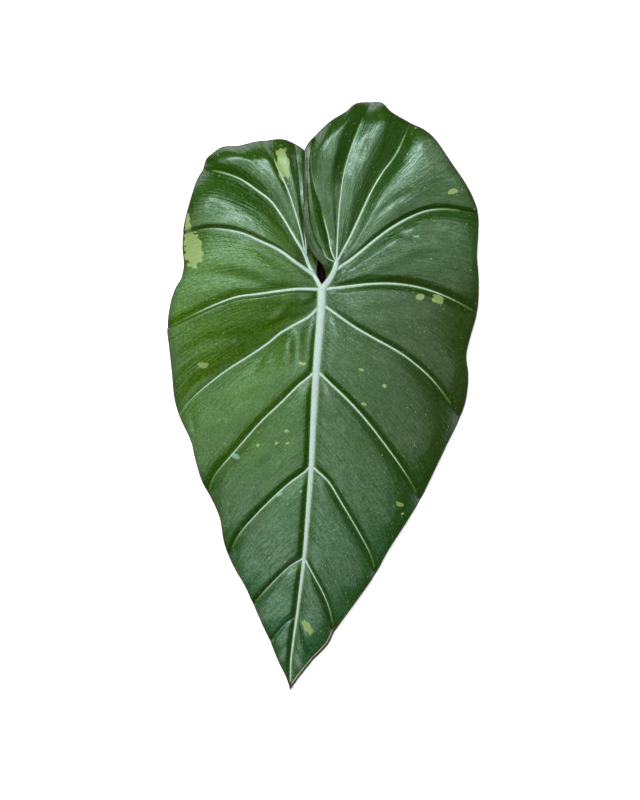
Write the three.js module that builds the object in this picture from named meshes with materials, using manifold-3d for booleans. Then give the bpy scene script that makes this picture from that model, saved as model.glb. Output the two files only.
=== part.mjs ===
// One leaf of a variegated philodendron hybrid, picked with a short length of its petiole and lying
// face up, as it rests on a table. Millimetres, +Z up, the tip towards -Y and the two lobes towards +Y.
// The blade is one closed sheet: heart-shaped, quilted between its veins, with waved margins, raised
// ribs on both faces and a right lobe that laps over the left one. The petiole lies under the lobes.
// Every outline and vein point is in mm from the junction, where the petiole meets the blade.
import * as THREE from "three";
import { mergeVertices } from "three/addons/utils/BufferGeometryUtils.js";
import Module from "manifold-3d";

const wasm = await Module();
wasm.setup();

// Driving dimensions
const BLADE_THICKNESS = 0.7;
const JOINT_GAP = 0.3; // between the petiole's end and the underside of the blade
const QUILT_HEIGHT = 2.2; // how far a panel bulges above the veins on its two sides
const SPINE_VALLEY = { left: 2.4, right: 4.6 }; // how far the valley beside the midrib runs
const CURL_REACH = 12; // how far in from the margin its curl starts
const SINUS_LIFT = { left: -5, right: 5.2 }; // parts the two lobes where they overlap
const SINUS_REACH = { left: 11, right: 12 }; // how far in from the sinus that runs
const SINUS_EASING = { left: 0, right: 0.75 }; // how much of it is lost towards the lobe's end
const KNEE = 0.3; // roundness of a bulge's shoulder
const MIDRIB = { width: 4.6, rise: 0.9, keel: 2.2, taper: 0.85 };
const TRUNK = { width: 3.0, rise: 0.7, keel: 1.5, taper: 0.3 };
const VEIN_RISE = 0.3; // height of a side vein on the upper face, as a share of its width
const VEIN_KEEL = 0.6; // depth of a side vein on the underside, as a share of its width
const PETIOLE_RADIUS = 3.0;
const PETIOLE_FLAT = 0.2; // how far the petiole's underside is pressed flat where it lies

// Mesh density
const VEIN_STEPS = 14; // from the midrib to the margin
const PANEL_STEPS = 6; // from one vein to the next
const PETIOLE_SIDES = 14;
const PETIOLE_STEPS = 22;

// Height of the upper face along the midrib, at its stations from the junction to the tip
const JUNCTION_HEIGHT = 15;
const MIDRIB_STATIONS = [
  { at: 0, height: JUNCTION_HEIGHT },
  { at: 0.035, height: 15.2 },
  { at: 0.2, height: 14.8 },
  { at: 0.437, height: 11.8 },
  { at: 0.668, height: 7.6 },
  { at: 0.817, height: 4.6 },
  { at: 1, height: 1.2 },
];
const MIDRIB_PATH = [
  [0, 0], [-0.3, -9], [-1, -18.5], [-2.6, -38], [-4.2, -65], [-5.3, -88.5], [-6.9, -110],
  [-9, -135], [-10.9, -150.5], [-12.5, -163], [-14.2, -175], [-15.6, -187], [-15.8, -200.5],
];

// Each lobe has a trunk, from which its own veins fan out. fork is where the lowest of them leaves it,
// as a share of its length.
const TRUNKS = {
  left: { path: [[0, 0], [-2.5, 4.4], [-5.1, 9], [-7.2, 13.5], [-8.2, 16.8]], height: 15, fork: 0.45 },
  right: { path: [[0, 0], [4, 5.2], [6.2, 9.5], [7.2, 13.4]], height: 15.6, fork: 0.7 },
};

// The lines of each half, in order from the sinus to the tip. A line starts on the trunk or the
// midrib, at the share of its length given by root, and ends on the margin. edge holds the points of
// the margin from there to the next line's end. height is the upper face's height at the margin, arch
// how far the line bows up on its way, droop how late it falls, curl how far the margin bends down at
// its very edge, and wave how far the margin rises between this line and the next. valley is how far
// the dip beside the vein runs, towards the sinus and towards the tip. swell is how much more than
// elsewhere the sheet bulges up after this line, and lean how far that bulge leans to the next one.
const LINES = {
  left: [
    {
      root: ["trunk", 0], width: 0,
      height: 8, arch: 0, droop: 1.5, curl: 0, wave: 0,
      path: [[-1.6, 4], [-2.7, 8], [-2.6, 13], [-1.2, 21], [-0.6, 34], [-1.8, 50], [-5.5, 65.5]],
      edge: [[-9.5, 70.5]],
    },
    {
      root: ["trunk", 1], width: 1.1,
      height: 7, arch: 0.5, droop: 1.5, curl: 0.4, wave: 0.6, valley: [3, 3],
      path: [[-8, 23], [-8.9, 31], [-10.3, 42], [-11.6, 55], [-13.6, 73.2]],
      edge: [[-19.5, 75.6]],
    },
    {
      root: ["trunk", 1], width: 1.4,
      height: 6.8, arch: 0.5, droop: 1.5, curl: 5.2, wave: 1, valley: [2, 2],
      swell: 1.1, lean: 0.3,
      path: [[-10.3, 27.8], [-13.7, 40], [-18, 52.2], [-22.8, 62.5], [-27.5, 75.5]],
      edge: [[-34, 74.6], [-42, 72.6], [-50, 72], [-54.5, 69.2], [-58, 66.2]],
    },
    {
      root: ["trunk", 1], width: 1.8,
      height: 4.2, arch: -1.5, droop: 1.6, curl: 4.4, wave: 2.2, valley: [5, 8.5],
      swell: 1.4, lean: 0.45,
      path: [
        [-14.1, 27], [-19.5, 36.2], [-25.6, 44.6], [-32.5, 50],
        [-40.1, 55.3], [-49, 59], [-59.8, 61.2],
      ],
      edge: [[-62.4, 56.6], [-66.1, 44.5], [-68.6, 35]],
    },
    {
      root: ["trunk", 0.45], width: 1.9,
      height: 2.6, arch: 2.3, droop: 1.8, curl: 0.8, wave: 3, valley: [1.2, 8],
      swell: 0.8, lean: 0.1,
      path: [
        [-12.6, 13.2], [-21, 19.3], [-30.2, 23.9], [-40.1, 28.3],
        [-49.3, 30.3], [-57.5, 30.8], [-69.6, 28.8],
      ],
      edge: [[-69.9, 22], [-69, 12.5], [-70.2, 6.2], [-73.4, 0.2], [-75.6, -6.5]],
    },
    {
      root: ["midrib", 0], width: 1.5,
      height: 6, arch: 2.6, droop: 1.2, curl: 0, wave: 0.6, valley: [4, 1.2],
      swell: 1.15, lean: -0.55,
      path: [
        [-11.8, 0.2], [-22.3, -0.9], [-32.3, -2.3], [-42, -3.5],
        [-51, -6.5], [-60.3, -10.5], [-69, -14.6], [-77.2, -18.5],
      ],
      edge: [[-76.2, -29.5], [-75, -42], [-74, -54]],
    },
    {
      root: ["midrib", 0.035], width: 1.7,
      height: 1, arch: -3.1, droop: 1.5, curl: 0.2, wave: 2.4, valley: [12, 7],
      swell: 1, lean: 0.1,
      path: [
        [-5.8, -13], [-13.6, -17.5], [-20.4, -21.3], [-26.7, -26.4],
        [-33.7, -31.2], [-49.7, -41.4], [-65.9, -54.8], [-71.8, -62.5],
      ],
      edge: [[-65.4, -76], [-63.8, -83], [-60.2, -95.5]],
    },
    {
      root: ["midrib", 0.2], width: 1.3,
      height: 1.4, arch: -0.4, droop: 1.6, curl: 0.2, wave: 2, valley: [4.4, 6.5],
      swell: 1, lean: 0.1,
      path: [
        [-6.2, -43.4], [-11.4, -47.5], [-20.5, -56.5], [-29.7, -65.1],
        [-43.5, -80.6], [-54.4, -93.8], [-57.3, -101.3],
      ],
      edge: [[-53.8, -107.6], [-51, -114.5], [-49.2, -125.5]],
    },
    {
      root: ["midrib", 0.437], width: 1.2,
      height: 1.6, arch: 1, droop: 1.5, curl: 0.2, wave: 1.4, valley: [3.2, 6],
      swell: 1, lean: 0.3,
      path: [[-8.2, -90.6], [-17.7, -97.8], [-32, -111.5], [-42.3, -123.6], [-46.8, -133.3]],
      edge: [[-43, -140.8], [-38.6, -148]],
    },
    {
      root: ["midrib", 0.668], width: 1.0,
      height: 1.6, arch: 0.8, droop: 1.5, curl: 0.2, wave: 1, valley: [2.2, 4.5],
      swell: 1, lean: 0.3,
      path: [[-14.9, -137.5], [-20, -141.9], [-29.2, -151.5], [-34.4, -157.5]],
      edge: [[-30.8, -165.5]],
    },
    {
      root: ["midrib", 0.817], width: 0.6,
      height: 1.4, arch: 0.5, droop: 1.5, curl: 0.5, wave: 0.5, valley: [1.8, 1.4],
      path: [[-17.5, -166.3], [-21.8, -171], [-26, -176]],
      edge: [[-21.5, -186.8], [-18, -194]],
    },
  ],
  right: [
    {
      root: ["trunk", 0], width: 0,
      height: 9.6, arch: 0.4, droop: 1.3, curl: 0, wave: 0,
      path: [[1.5, 3], [2.3, 7.5], [0.6, 11.8], [-3.8, 17], [-7.4, 24], [-9, 33], [-8.6, 50], [-8.4, 70]],
      edge: [],
    },
    {
      root: ["trunk", 1], width: 0.7,
      height: 9.8, arch: 0.4, droop: 1.3, curl: 0, wave: 0.2, valley: [2.5, 2.5],
      path: [[2.6, 15.4], [0.2, 19.6], [-3.6, 27], [-6.4, 42], [-7.3, 60], [-6.6, 73.4]],
      edge: [],
    },
    {
      root: ["trunk", 1], width: 1.2,
      height: 9.8, arch: -0.3, droop: 1.3, curl: 1.6, wave: 1, valley: [2.5, 9],
      swell: 1.8, lean: -0.1,
      path: [[4.6, 19], [3.4, 25.5], [0.4, 37.7], [-4, 52.2], [-5.6, 64], [-3.6, 76.8]],
      edge: [[4.2, 84], [12.3, 89.2], [17, 93.3]],
    },
    {
      root: ["trunk", 1], width: 1.4,
      height: 9, arch: 0.2, droop: 1.3, curl: 5.4, wave: 2, valley: [8, 9],
      swell: 1.5, lean: -0.1,
      path: [[7.9, 28.5], [8.9, 42.3], [10.9, 57.5], [13.8, 68.3], [17.2, 78.2], [24.6, 94.5]],
      edge: [[29.9, 93.9], [34.4, 89.2]],
    },
    {
      root: ["trunk", 1], width: 1.5,
      height: 8, arch: -1.7, droop: 1.4, curl: 1.8, wave: 2, valley: [11, 5.5],
      swell: 1.5, lean: -0.3,
      path: [[14.4, 27], [20, 39.2], [24.7, 49.2], [30, 58.3], [36, 66.5], [44.5, 83.7]],
      edge: [[54.4, 77.4], [64.3, 63.7], [73.7, 49.6]],
    },
    {
      root: ["trunk", 0.7], width: 1.8,
      height: 7.4, arch: 0.4, droop: 1.4, curl: 1, wave: 2, valley: [1.6, 7],
      swell: 1.3, lean: -0.1,
      path: [[16.2, 16.2], [25.4, 23.9], [34.5, 30.8], [44.5, 36.5], [52.9, 39.6], [62, 40.5], [78, 38.5]],
      edge: [[78, 28.5], [77.4, 17], [78.4, 4]],
    },
    {
      root: ["midrib", 0], width: 1.6,
      height: 3, arch: 0.8, droop: 2.1, curl: 0.8, wave: 2.6, valley: [3.6, 3],
      swell: 0.8, lean: 0.1,
      path: [[12.3, 1.4], [22.3, 2.6], [33, 3], [44.5, 2], [55.2, -0.6], [65.2, -4.5], [77.8, -11]],
      edge: [[74.6, -22.5], [72.3, -32.5], [73.3, -42.5], [72.4, -54]],
    },
    {
      root: ["midrib", 0.035], width: 1.7,
      height: 2, arch: 1.2, droop: 2.2, curl: 2, wave: 2.6, valley: [2.8, 7],
      path: [
        [8, -13], [15.8, -18.4], [25.2, -23.9], [34.5, -28.9],
        [42.5, -33.9], [56, -45.7], [69.4, -63.8],
      ],
      edge: [[62.8, -77], [57.5, -88]],
    },
    {
      root: ["midrib", 0.2], width: 1.5,
      height: 2, arch: 1, droop: 2, curl: 1.6, wave: 1.6, valley: [3, 6],
      path: [[5.8, -48.3], [13.8, -56], [21.9, -65], [37.3, -85.2], [43.7, -94.8], [49.4, -105]],
      edge: [[43.2, -115], [32.6, -131.5]],
    },
    {
      root: ["midrib", 0.437], width: 1.2,
      height: 1.8, arch: 0.8, droop: 1.4, curl: 0.2, wave: 1.2, valley: [2.4, 5],
      path: [[-2.9, -90], [3, -95.5], [10, -106.8], [21.3, -126.4], [24.9, -134], [27, -142]],
      edge: [[18.2, -154.5]],
    },
    {
      root: ["midrib", 0.668], width: 1.0,
      height: 1.8, arch: 0.6, droop: 1.3, curl: 0.1, wave: 0.8, valley: [2, 4],
      path: [[-4.2, -142.9], [-0.1, -150.5], [3.4, -159], [6.2, -171.4]],
      edge: [[3, -177.5]],
    },
    {
      root: ["midrib", 0.817], width: 0.5,
      height: 1.4, arch: 0.4, droop: 1.3, curl: 0.6, wave: 0.4, valley: [1.6, 1.4],
      path: [[-11.2, -171.5], [-9, -178], [-4.6, -185.8]],
      edge: [[-11.3, -194]],
    },
  ],
};

// The deepest creases between the veins: their points, depth and reach to each side.
const CREASES = [
  { path: [[-12, -12], [-12.3, -27], [-12.7, -41]], depth: 1.9, reach: 3.4 },
  { path: [[-16.5, -17], [-16.8, -28], [-17.3, -40]], depth: -1.3, reach: 3.4 },
  { path: [[-41, 24.5], [-29, 18.5], [-18, 11], [-9, 5]], depth: 1.3, reach: 3.6 },
  { path: [[-74, 3.5], [-59, 7], [-47.5, 7], [-35, 4.5], [-26, 2]], depth: 2.4, reach: 3 },
];
const TIP = MIDRIB_PATH.at(-1);
const TIP_HEIGHT = MIDRIB_STATIONS.at(-1).height;

// Small maths
const mix = (a, b, t) => a + (b - a) * t;
const clamp = (t, low = 0, high = 1) => Math.min(Math.max(t, low), high);
const smoothstep = (low, high, x) => {
  const t = clamp((x - low) / (high - low));
  return t * t * (3 - 2 * t);
};

// Straight from 0 at 0 to about 1 at 1 and level after it, with a rounded shoulder.
const ramp = (t) => (t + Math.hypot(1, KNEE) - Math.hypot(t - 1, KNEE)) / 2;

const evenStops = (steps, from = 0, to = 1) =>
  Array.from({ length: steps + 1 }, (_, i) => mix(from, to, i / steps));

// A plane path through its points, sampled finely and read by its share of length.
class Path {
  constructor(points) {
    const flat = points.map(([x, y]) => new THREE.Vector3(x, y, 0));
    this.curve = new THREE.CatmullRomCurve3(flat);
    this.read(this.curve.getPoints(flat.length * 10));
  }

  read(samples) {
    this.samples = samples;
    this.lengths = [0];
    for (let i = 1; i < samples.length; i++)
      this.lengths.push(this.lengths[i - 1] + samples[i].distanceTo(samples[i - 1]));
    this.length = this.lengths.at(-1);
  }

  // The stretch between two of the path's own points, counted from 0.
  between(first, last) {
    const spans = this.curve.points.length - 1;
    const steps = Math.max(1, last - first) * 10;
    const part = Object.create(Path.prototype);
    const samples = [];
    for (let i = 0; i <= steps; i++)
      samples.push(this.curve.getPoint(mix(first, last, i / steps) / spans));
    part.read(samples);
    return part;
  }

  at(share) {
    if (this.length === 0) return this.samples[0].clone();
    const target = clamp(share) * this.length;
    let i = 1;
    while (i < this.lengths.length - 1 && this.lengths[i] < target) i++;
    const t = (target - this.lengths[i - 1]) / (this.lengths[i] - this.lengths[i - 1]);
    return this.samples[i - 1].clone().lerp(this.samples[i], t);
  }

  // How far a point is from the path, and at what share of its length.
  nearest(point) {
    const best = { distance: Infinity, share: 0 };
    for (let i = 1; i < this.samples.length; i++) {
      const a = this.samples[i - 1];
      const step = this.samples[i].clone().sub(a);
      const t = clamp(point.clone().sub(a).dot(step) / step.lengthSq());
      const distance = a.clone().addScaledVector(step, t).distanceTo(point);
      if (distance < best.distance) {
        best.distance = distance;
        best.share = mix(this.lengths[i - 1], this.lengths[i], t) / this.length;
      }
    }
    return best;
  }
}

const midrib = new Path(MIDRIB_PATH);
const creases = CREASES.map((crease) => ({ ...crease, path: new Path(crease.path) }));

function midribHeight(share) {
  const next = Math.max(1, MIDRIB_STATIONS.findIndex((station) => station.at >= share));
  const [a, b] = [MIDRIB_STATIONS[next - 1], MIDRIB_STATIONS[next]];
  return mix(a.height, b.height, (share - a.at) / (b.at - a.at));
}

// One half of the blade: its trunk, its lines and the panels between them.
function makeHalf(side) {
  const trunk = new Path(TRUNKS[side].path);
  const spine = {
    midrib: { path: midrib, height: midribHeight },
    trunk: { path: trunk, height: (share) => mix(JUNCTION_HEIGHT, TRUNKS[side].height, share) },
  };
  const lines = LINES[side].map((line) => {
    const [name, share] = line.root;
    const root = spine[name].path.at(share);
    return { ...line, path: new Path([[root.x, root.y], ...line.path]), end: line.path.at(-1) };
  });
  const tip = { root: ["midrib", 1], width: 0, height: TIP_HEIGHT, arch: 0, droop: 2, curl: 0 };
  tip.path = Object.create(Path.prototype);
  tip.path.read([new THREE.Vector3(...TIP, 0)]);
  lines.push(tip);

  const knots = LINES[side].flatMap((line) => [line.path.at(-1), ...line.edge]);
  const margin = new Path([...knots, TIP]);
  let knot = 0;
  const panels = lines.slice(0, -1).map((line, i) => {
    const from = knot;
    knot += 1 + line.edge.length;
    return { first: line, second: lines[i + 1], edge: margin.between(from, knot) };
  });

  // A panel's root is the stretch of trunk or midrib between its two lines. The first panel, beside
  // the sinus, has the trunk's whole inner side for a root, in steps that meet those on its outer side.
  const { fork } = TRUNKS[side];
  const inner = [...evenStops(PANEL_STEPS, 0, fork), ...evenStops(PANEL_STEPS, fork, 1).slice(1)];
  panels.forEach((panel, i) => {
    const [name, from] = panel.first.root;
    const [nextName, next] = panel.second.root;
    const to = name === nextName ? next : 0;
    const stops = i === 0 ? inner : evenStops(PANEL_STEPS);
    panel.root = { on: spine[name], from, to, stops };
  });
  return { side, trunk, lines, panels };
}

// Where a row's points fall: the foot and the far side of the valley at each end, and evenly between.
function spread(steps, length, [foot, side], [lastFoot, lastSide]) {
  const [a, b] = [Math.min(foot / length, 0.1), Math.min(side / length, 0.3)];
  const [y, z] = [Math.min(lastFoot / length, 0.1), Math.min(lastSide / length, 0.3)];
  return [0, a, ...evenStops(steps - 4).map((stop) => mix(b, 1 - z, stop)), 1 - y, 1];
}

const TAPER = 0.75; // how much narrower a vein is at the margin than at its root
const MARGIN_STEPS = [1.2, 0.6 * CURL_REACH];
const spineSteps = (side) => [2, 2 + SPINE_VALLEY[side]];
const veinSteps = ({ width, valley = [4, 4] }, side, share) => {
  const foot = Math.max(width * (1 - TAPER * share), 0.6) / 2;
  return [foot, foot + valley[side]];
};

// A point of a panel: u runs from the spine to the margin, v from the first line to the second.
function panelPoint(panel, u, v) {
  const { first, second, edge, root } = panel;
  const base = (t) => root.on.path.at(mix(root.from, root.to, t));
  const point = new THREE.Vector3();
  point.addScaledVector(first.path.at(u), 1 - v).addScaledVector(second.path.at(u), v);
  point.addScaledVector(base(v), 1 - u).addScaledVector(edge.at(v), u);
  point.addScaledVector(base(0), -(1 - u) * (1 - v)).addScaledVector(base(1), -(1 - u) * v);
  point.addScaledVector(edge.at(0), -u * (1 - v)).addScaledVector(edge.at(1), -u * v);
  return point;
}

// The raised rib at a point of one half: how high on the upper face and how deep on the underside.
function ribAt(half, point) {
  const rib = { rise: 0, keel: 0 };
  const raise = (path, width, rise, keel, narrowing) => {
    const { distance, share } = path.nearest(point);
    const thin = 1 - narrowing * share;
    const t = distance / ((width * thin) / 2);
    if (t >= 1) return;
    const bump = (1 - t * t) ** 2 * thin;
    rib.rise = Math.max(rib.rise, rise * bump);
    rib.keel = Math.max(rib.keel, keel * bump);
  };
  raise(midrib, MIDRIB.width, MIDRIB.rise, MIDRIB.keel, MIDRIB.taper);
  raise(half.trunk, TRUNK.width, TRUNK.rise, TRUNK.keel, TRUNK.taper);
  for (const { path, width } of half.lines)
    if (width > 0) raise(path, width, width * VEIN_RISE, width * VEIN_KEEL, TAPER);
  return rib;
}

// How far a point is from the edge of the midrib or of its half's trunk.
function distanceToSpine(half, point) {
  const edge = (path, { width, taper }) => {
    const { distance, share } = path.nearest(point);
    return distance - (width / 2) * (1 - taper * share);
  };
  return Math.max(Math.min(edge(midrib, MIDRIB), edge(half.trunk, TRUNK)), 0);
}

function creaseDepth(point) {
  let depth = 0;
  for (const crease of creases) {
    const { distance, share } = crease.path.nearest(point);
    const fade = Math.sin(Math.PI * clamp(share, 0.02, 0.98)) ** 0.7;
    depth += crease.depth * fade * Math.exp(-((distance / crease.reach) ** 2));
  }
  return depth;
}

// The height of the upper face, without its ribs, at a point of a panel.
function sheetHeight(half, panel, u, v, point) {
  const { first, second, root } = panel;
  const start = root.on.height(mix(root.from, root.to, v));
  const end = mix(first.height, second.height, v) + first.wave * Math.sin(Math.PI * v) ** 2;
  const arch = mix(first.arch, second.arch, v) * 4 * u * (1 - u);
  const width = first.path.at(u).distanceTo(second.path.at(u));
  const valley = (line, side, distance) => {
    if (!line.valley) return 1;
    const reach = Math.min(line.valley[side], 0.6 * width) + 1e-6;
    return ramp(Math.max(distance - (line.width / 2) * (1 - TAPER * u), 0) / reach);
  };
  const swell = (first.swell ?? 1) * (1 + (first.lean ?? 0) * (2 * v - 1));
  const quilt =
    QUILT_HEIGHT * Math.min(1, width / 24) * swell *
    ramp(distanceToSpine(half, point) / SPINE_VALLEY[half.side]) *
    valley(first, 1, v * width) * valley(second, 0, (1 - v) * width);
  const toMargin = (1 - u) * mix(first.path.length, second.path.length, v);
  const atMargin = clamp(1 - toMargin / CURL_REACH) ** 2 * smoothstep(0, 0.3, u);
  const curl = mix(first.curl, second.curl, v) * atMargin;
  const toSinus = half.lines[0].path.nearest(point).distance;
  const near = clamp(1 - toSinus / SINUS_REACH[half.side]) ** 1.2;
  const easing = SINUS_EASING[half.side] * smoothstep(38, 58, point.y);
  const along = smoothstep(0, 20, point.y) * (1 - easing);
  const lift = SINUS_LIFT[half.side] * along * near;
  const fall = mix(start, end, u ** mix(first.droop, second.droop, v));
  const crease = creaseDepth(point) * clamp(6 * v * (1 - v)) * clamp(12 * u);
  return fall + arch + quilt + lift - curl - crease;
}

// A geometry's triangles as a solid, and back.
function solidOf(geometry) {
  const bare = geometry.clone();
  bare.deleteAttribute("normal");
  bare.deleteAttribute("uv");
  const merged = mergeVertices(bare, 1e-4);
  const vertProperties = new Float32Array(merged.attributes.position.array);
  const triVerts = new Uint32Array(merged.index.array);
  return new wasm.Manifold(new wasm.Mesh({ numProp: 3, vertProperties, triVerts }));
}

function geometryOf(solid) {
  const { vertProperties, triVerts } = solid.getMesh();
  const geometry = new THREE.BufferGeometry();
  geometry.setAttribute("position", new THREE.BufferAttribute(vertProperties, 3));
  geometry.setIndex(new THREE.BufferAttribute(triVerts, 1));
  return geometry;
}

// The blade as a closed sheet. Both faces have the same triangles, one above the other, and swell
// adds that much to each of them, for the shape that the petiole's end is cut with.
function makeBlade(halves, swell) {
  const index = new Map();
  const upper = [];
  const lower = [];
  const triangles = [];

  const vertex = (half, panel, u, v) => {
    const point = panelPoint(panel, u, v);
    const rib = ribAt(half, point);
    const sheet = sheetHeight(half, panel, u, v, point);
    const height = Math.max(sheet, BLADE_THICKNESS + rib.keel); // settles on the table
    const key = [point.x, point.y, height].map((c) => Math.round(c * 1000)).join();
    if (!index.has(key)) {
      index.set(key, upper.length);
      upper.push([point.x, point.y, height + rib.rise + swell]);
      lower.push([point.x, point.y, height - BLADE_THICKNESS - rib.keel - swell]);
    }
    return index.get(key);
  };

  const addTriangle = (a, b, c) => {
    if (a !== b && b !== c && c !== a) triangles.push([a, b, c]);
  };

  for (const half of halves) {
    for (const panel of half.panels) {
      const { first, second, root } = panel;
      const steps = root.stops.length - 1;
      const rows = [];
      for (let i = 0; i <= VEIN_STEPS; i++) {
        const row = root.stops.map((rootStop, j) => {
          const outward = (share) => {
            const length = mix(first.path.length, second.path.length, share) + 1;
            return spread(VEIN_STEPS, length, spineSteps(half.side), MARGIN_STEPS)[i];
          };
          const rough = outward(rootStop);
          const width = first.path.at(rough).distanceTo(second.path.at(rough)) + 1e-6;
          const across = spread(steps, width, veinSteps(first, 1, rough), veinSteps(second, 0, rough))[j];
          const v = second.path.length ? mix(rootStop, across, smoothstep(0, 0.15, rough)) : rootStop;
          return vertex(half, panel, outward(v), v);
        });
        rows.push(row);
      }
      for (let i = 0; i < VEIN_STEPS; i++) {
        for (let j = 0; j < steps; j++) {
          const [a, b, c, d] = [rows[i][j], rows[i + 1][j], rows[i + 1][j + 1], rows[i][j + 1]];
          if (half.side === "left") {
            addTriangle(a, b, c);
            addTriangle(a, c, d);
          } else {
            addTriangle(a, c, b);
            addTriangle(a, d, c);
          }
        }
      }
    }
  }

  // Walls close the sheet wherever a triangle's edge has no neighbour.
  const edges = new Set(triangles.flatMap(([a, b, c]) => [`${a},${b}`, `${b},${c}`, `${c},${a}`]));
  const count = upper.length;
  const faces = triangles.flatMap(([a, b, c]) => [a, b, c, count + a, count + c, count + b]);
  for (const edge of edges) {
    const [a, b] = edge.split(",").map(Number);
    if (!edges.has(`${b},${a}`)) faces.push(a, count + a, count + b, a, count + b, b);
  }
  const geometry = new THREE.BufferGeometry();
  geometry.setAttribute("position", new THREE.Float32BufferAttribute([...upper, ...lower].flat(), 3));
  geometry.setIndex(faces);
  return geometry;
}

// The petiole: a round stalk with a swollen knee at the junction. It lies on its flat underside and
// its end follows the underside of the blade.
function makePetiole(cutter) {
  const axis = PETIOLE_RADIUS - PETIOLE_FLAT;
  const route = new THREE.CatmullRomCurve3([
    new THREE.Vector3(0.2, 63, axis),
    new THREE.Vector3(0.1, 47, axis),
    new THREE.Vector3(0, 31, axis),
    new THREE.Vector3(0, 18, axis + 1.2),
    new THREE.Vector3(0, 7, axis + 4.6),
    new THREE.Vector3(-0.1, -3, axis + 9),
  ]);
  const section = new THREE.Shape();
  for (let i = 0; i < PETIOLE_SIDES; i++) {
    const angle = (2 * Math.PI * i) / PETIOLE_SIDES;
    const [x, y] = [PETIOLE_RADIUS * Math.cos(angle), PETIOLE_RADIUS * Math.sin(angle)];
    if (i === 0) section.moveTo(x, y);
    else section.lineTo(x, y);
  }
  section.closePath();
  const stalk = new THREE.ExtrudeGeometry(section, { steps: PETIOLE_STEPS, extrudePath: route });
  const knee = new THREE.SphereGeometry(1, 16, 10);
  knee.scale(3.5, 7, 3.3);
  knee.rotateX(-0.4);
  knee.translate(0, 6, axis + 4.8);
  const table = new THREE.BoxGeometry(60, 200, 20);
  table.translate(0, 0, -10);
  const whole = solidOf(stalk).add(solidOf(knee)).subtract(solidOf(table)).subtract(solidOf(cutter));
  const pieces = whole.decompose().sort((a, b) => b.volume() - a.volume());
  return geometryOf(pieces[0]);
}

function makeMesh(name, geometry, color, roughness) {
  const material = new THREE.MeshStandardMaterial({ color, roughness, metalness: 0 });
  const mesh = new THREE.Mesh(geometry, material);
  mesh.name = name;
  return mesh;
}

const halves = [makeHalf("left"), makeHalf("right")];
const leaf = new THREE.Group();
leaf.add(makeMesh("leaf_blade", makeBlade(halves, 0), 0x2f5a1c, 0.35));
leaf.add(makeMesh("petiole", makePetiole(makeBlade(halves, JOINT_GAP)), 0x4a2f22, 0.5));

// The origin is on the table, under the middle of the leaf.
const box = new THREE.Box3().setFromObject(leaf);
const middle = box.getCenter(new THREE.Vector3());
leaf.position.set(-middle.x, -middle.y, -box.min.z);

export default leaf;
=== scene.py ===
"""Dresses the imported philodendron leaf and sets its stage.

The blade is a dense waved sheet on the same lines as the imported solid, with its veins and coloured
margin swept along their paths, and the petiole is a swept stalk. The pieces are made in metres, and
the leaf's own tables are in mm.
"""

import math

import bpy
import numpy as np
from bpy.props import FloatProperty, FloatVectorProperty, IntProperty, PointerProperty
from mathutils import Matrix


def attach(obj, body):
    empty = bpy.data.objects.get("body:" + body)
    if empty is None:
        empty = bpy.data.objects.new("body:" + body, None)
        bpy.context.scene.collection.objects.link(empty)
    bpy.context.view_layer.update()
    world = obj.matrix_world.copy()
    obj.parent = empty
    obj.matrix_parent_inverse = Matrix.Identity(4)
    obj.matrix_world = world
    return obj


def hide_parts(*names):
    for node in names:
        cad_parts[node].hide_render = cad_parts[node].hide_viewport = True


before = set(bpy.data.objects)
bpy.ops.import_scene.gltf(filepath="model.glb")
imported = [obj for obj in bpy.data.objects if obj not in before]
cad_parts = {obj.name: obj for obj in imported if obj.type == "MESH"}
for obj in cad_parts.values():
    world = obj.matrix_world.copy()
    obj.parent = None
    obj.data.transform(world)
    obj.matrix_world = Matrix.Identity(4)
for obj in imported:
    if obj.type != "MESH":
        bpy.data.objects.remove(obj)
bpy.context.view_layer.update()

bl_info = {
    "name": "Philodendron leaf",
    "version": (1, 0, 0),
    "blender": (4, 5, 0),
    "location": "3D View > Sidebar > Leaf",
    "description": "A variegated philodendron leaf with raised veins, lying face up",
    "category": "Object",
}

MM = 0.001
BODY = "root"

# Where the petiole meets the blade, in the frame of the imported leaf. Leaf points count from it.
JUNCTION = (-0.524, 52.996)

# Height of the upper face along the midrib, by share of its length
JUNCTION_HEIGHT = 15.0
MIDRIB_SHARES = [0, 0.035, 0.2, 0.437, 0.668, 0.817, 1]
MIDRIB_HEIGHTS = [JUNCTION_HEIGHT, 15.2, 14.8, 11.8, 7.6, 4.6, 1.2]
MIDRIB_PATH = [
    (0, 0), (-0.3, -9), (-1, -18.5), (-2.6, -38), (-4.2, -65), (-5.3, -88.5), (-6.9, -110),
    (-9, -135), (-10.9, -150.5), (-12.5, -163), (-14.2, -175), (-15.6, -187), (-15.8, -200.5),
]
TIP = MIDRIB_PATH[-1]

# Each lobe has a trunk, from which its own veins fan out: its points, the height of its far end,
# the share of its length where the lowest vein leaves it, and its widths at its two ends
TRUNKS = {
    "left": {
        "path": [(0, 0), (-2.5, 4.4), (-5.1, 9), (-7.2, 13.5), (-8.2, 16.8)],
        "height": 15.0, "fork": 0.45, "width": (2.5, 1.9),
    },
    "right": {
        "path": [(0, 0), (4, 5.2), (6.2, 9.5), (7.2, 13.4)],
        "height": 15.6, "fork": 0.7, "width": (3.5, 2.6),
    },
}

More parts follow.
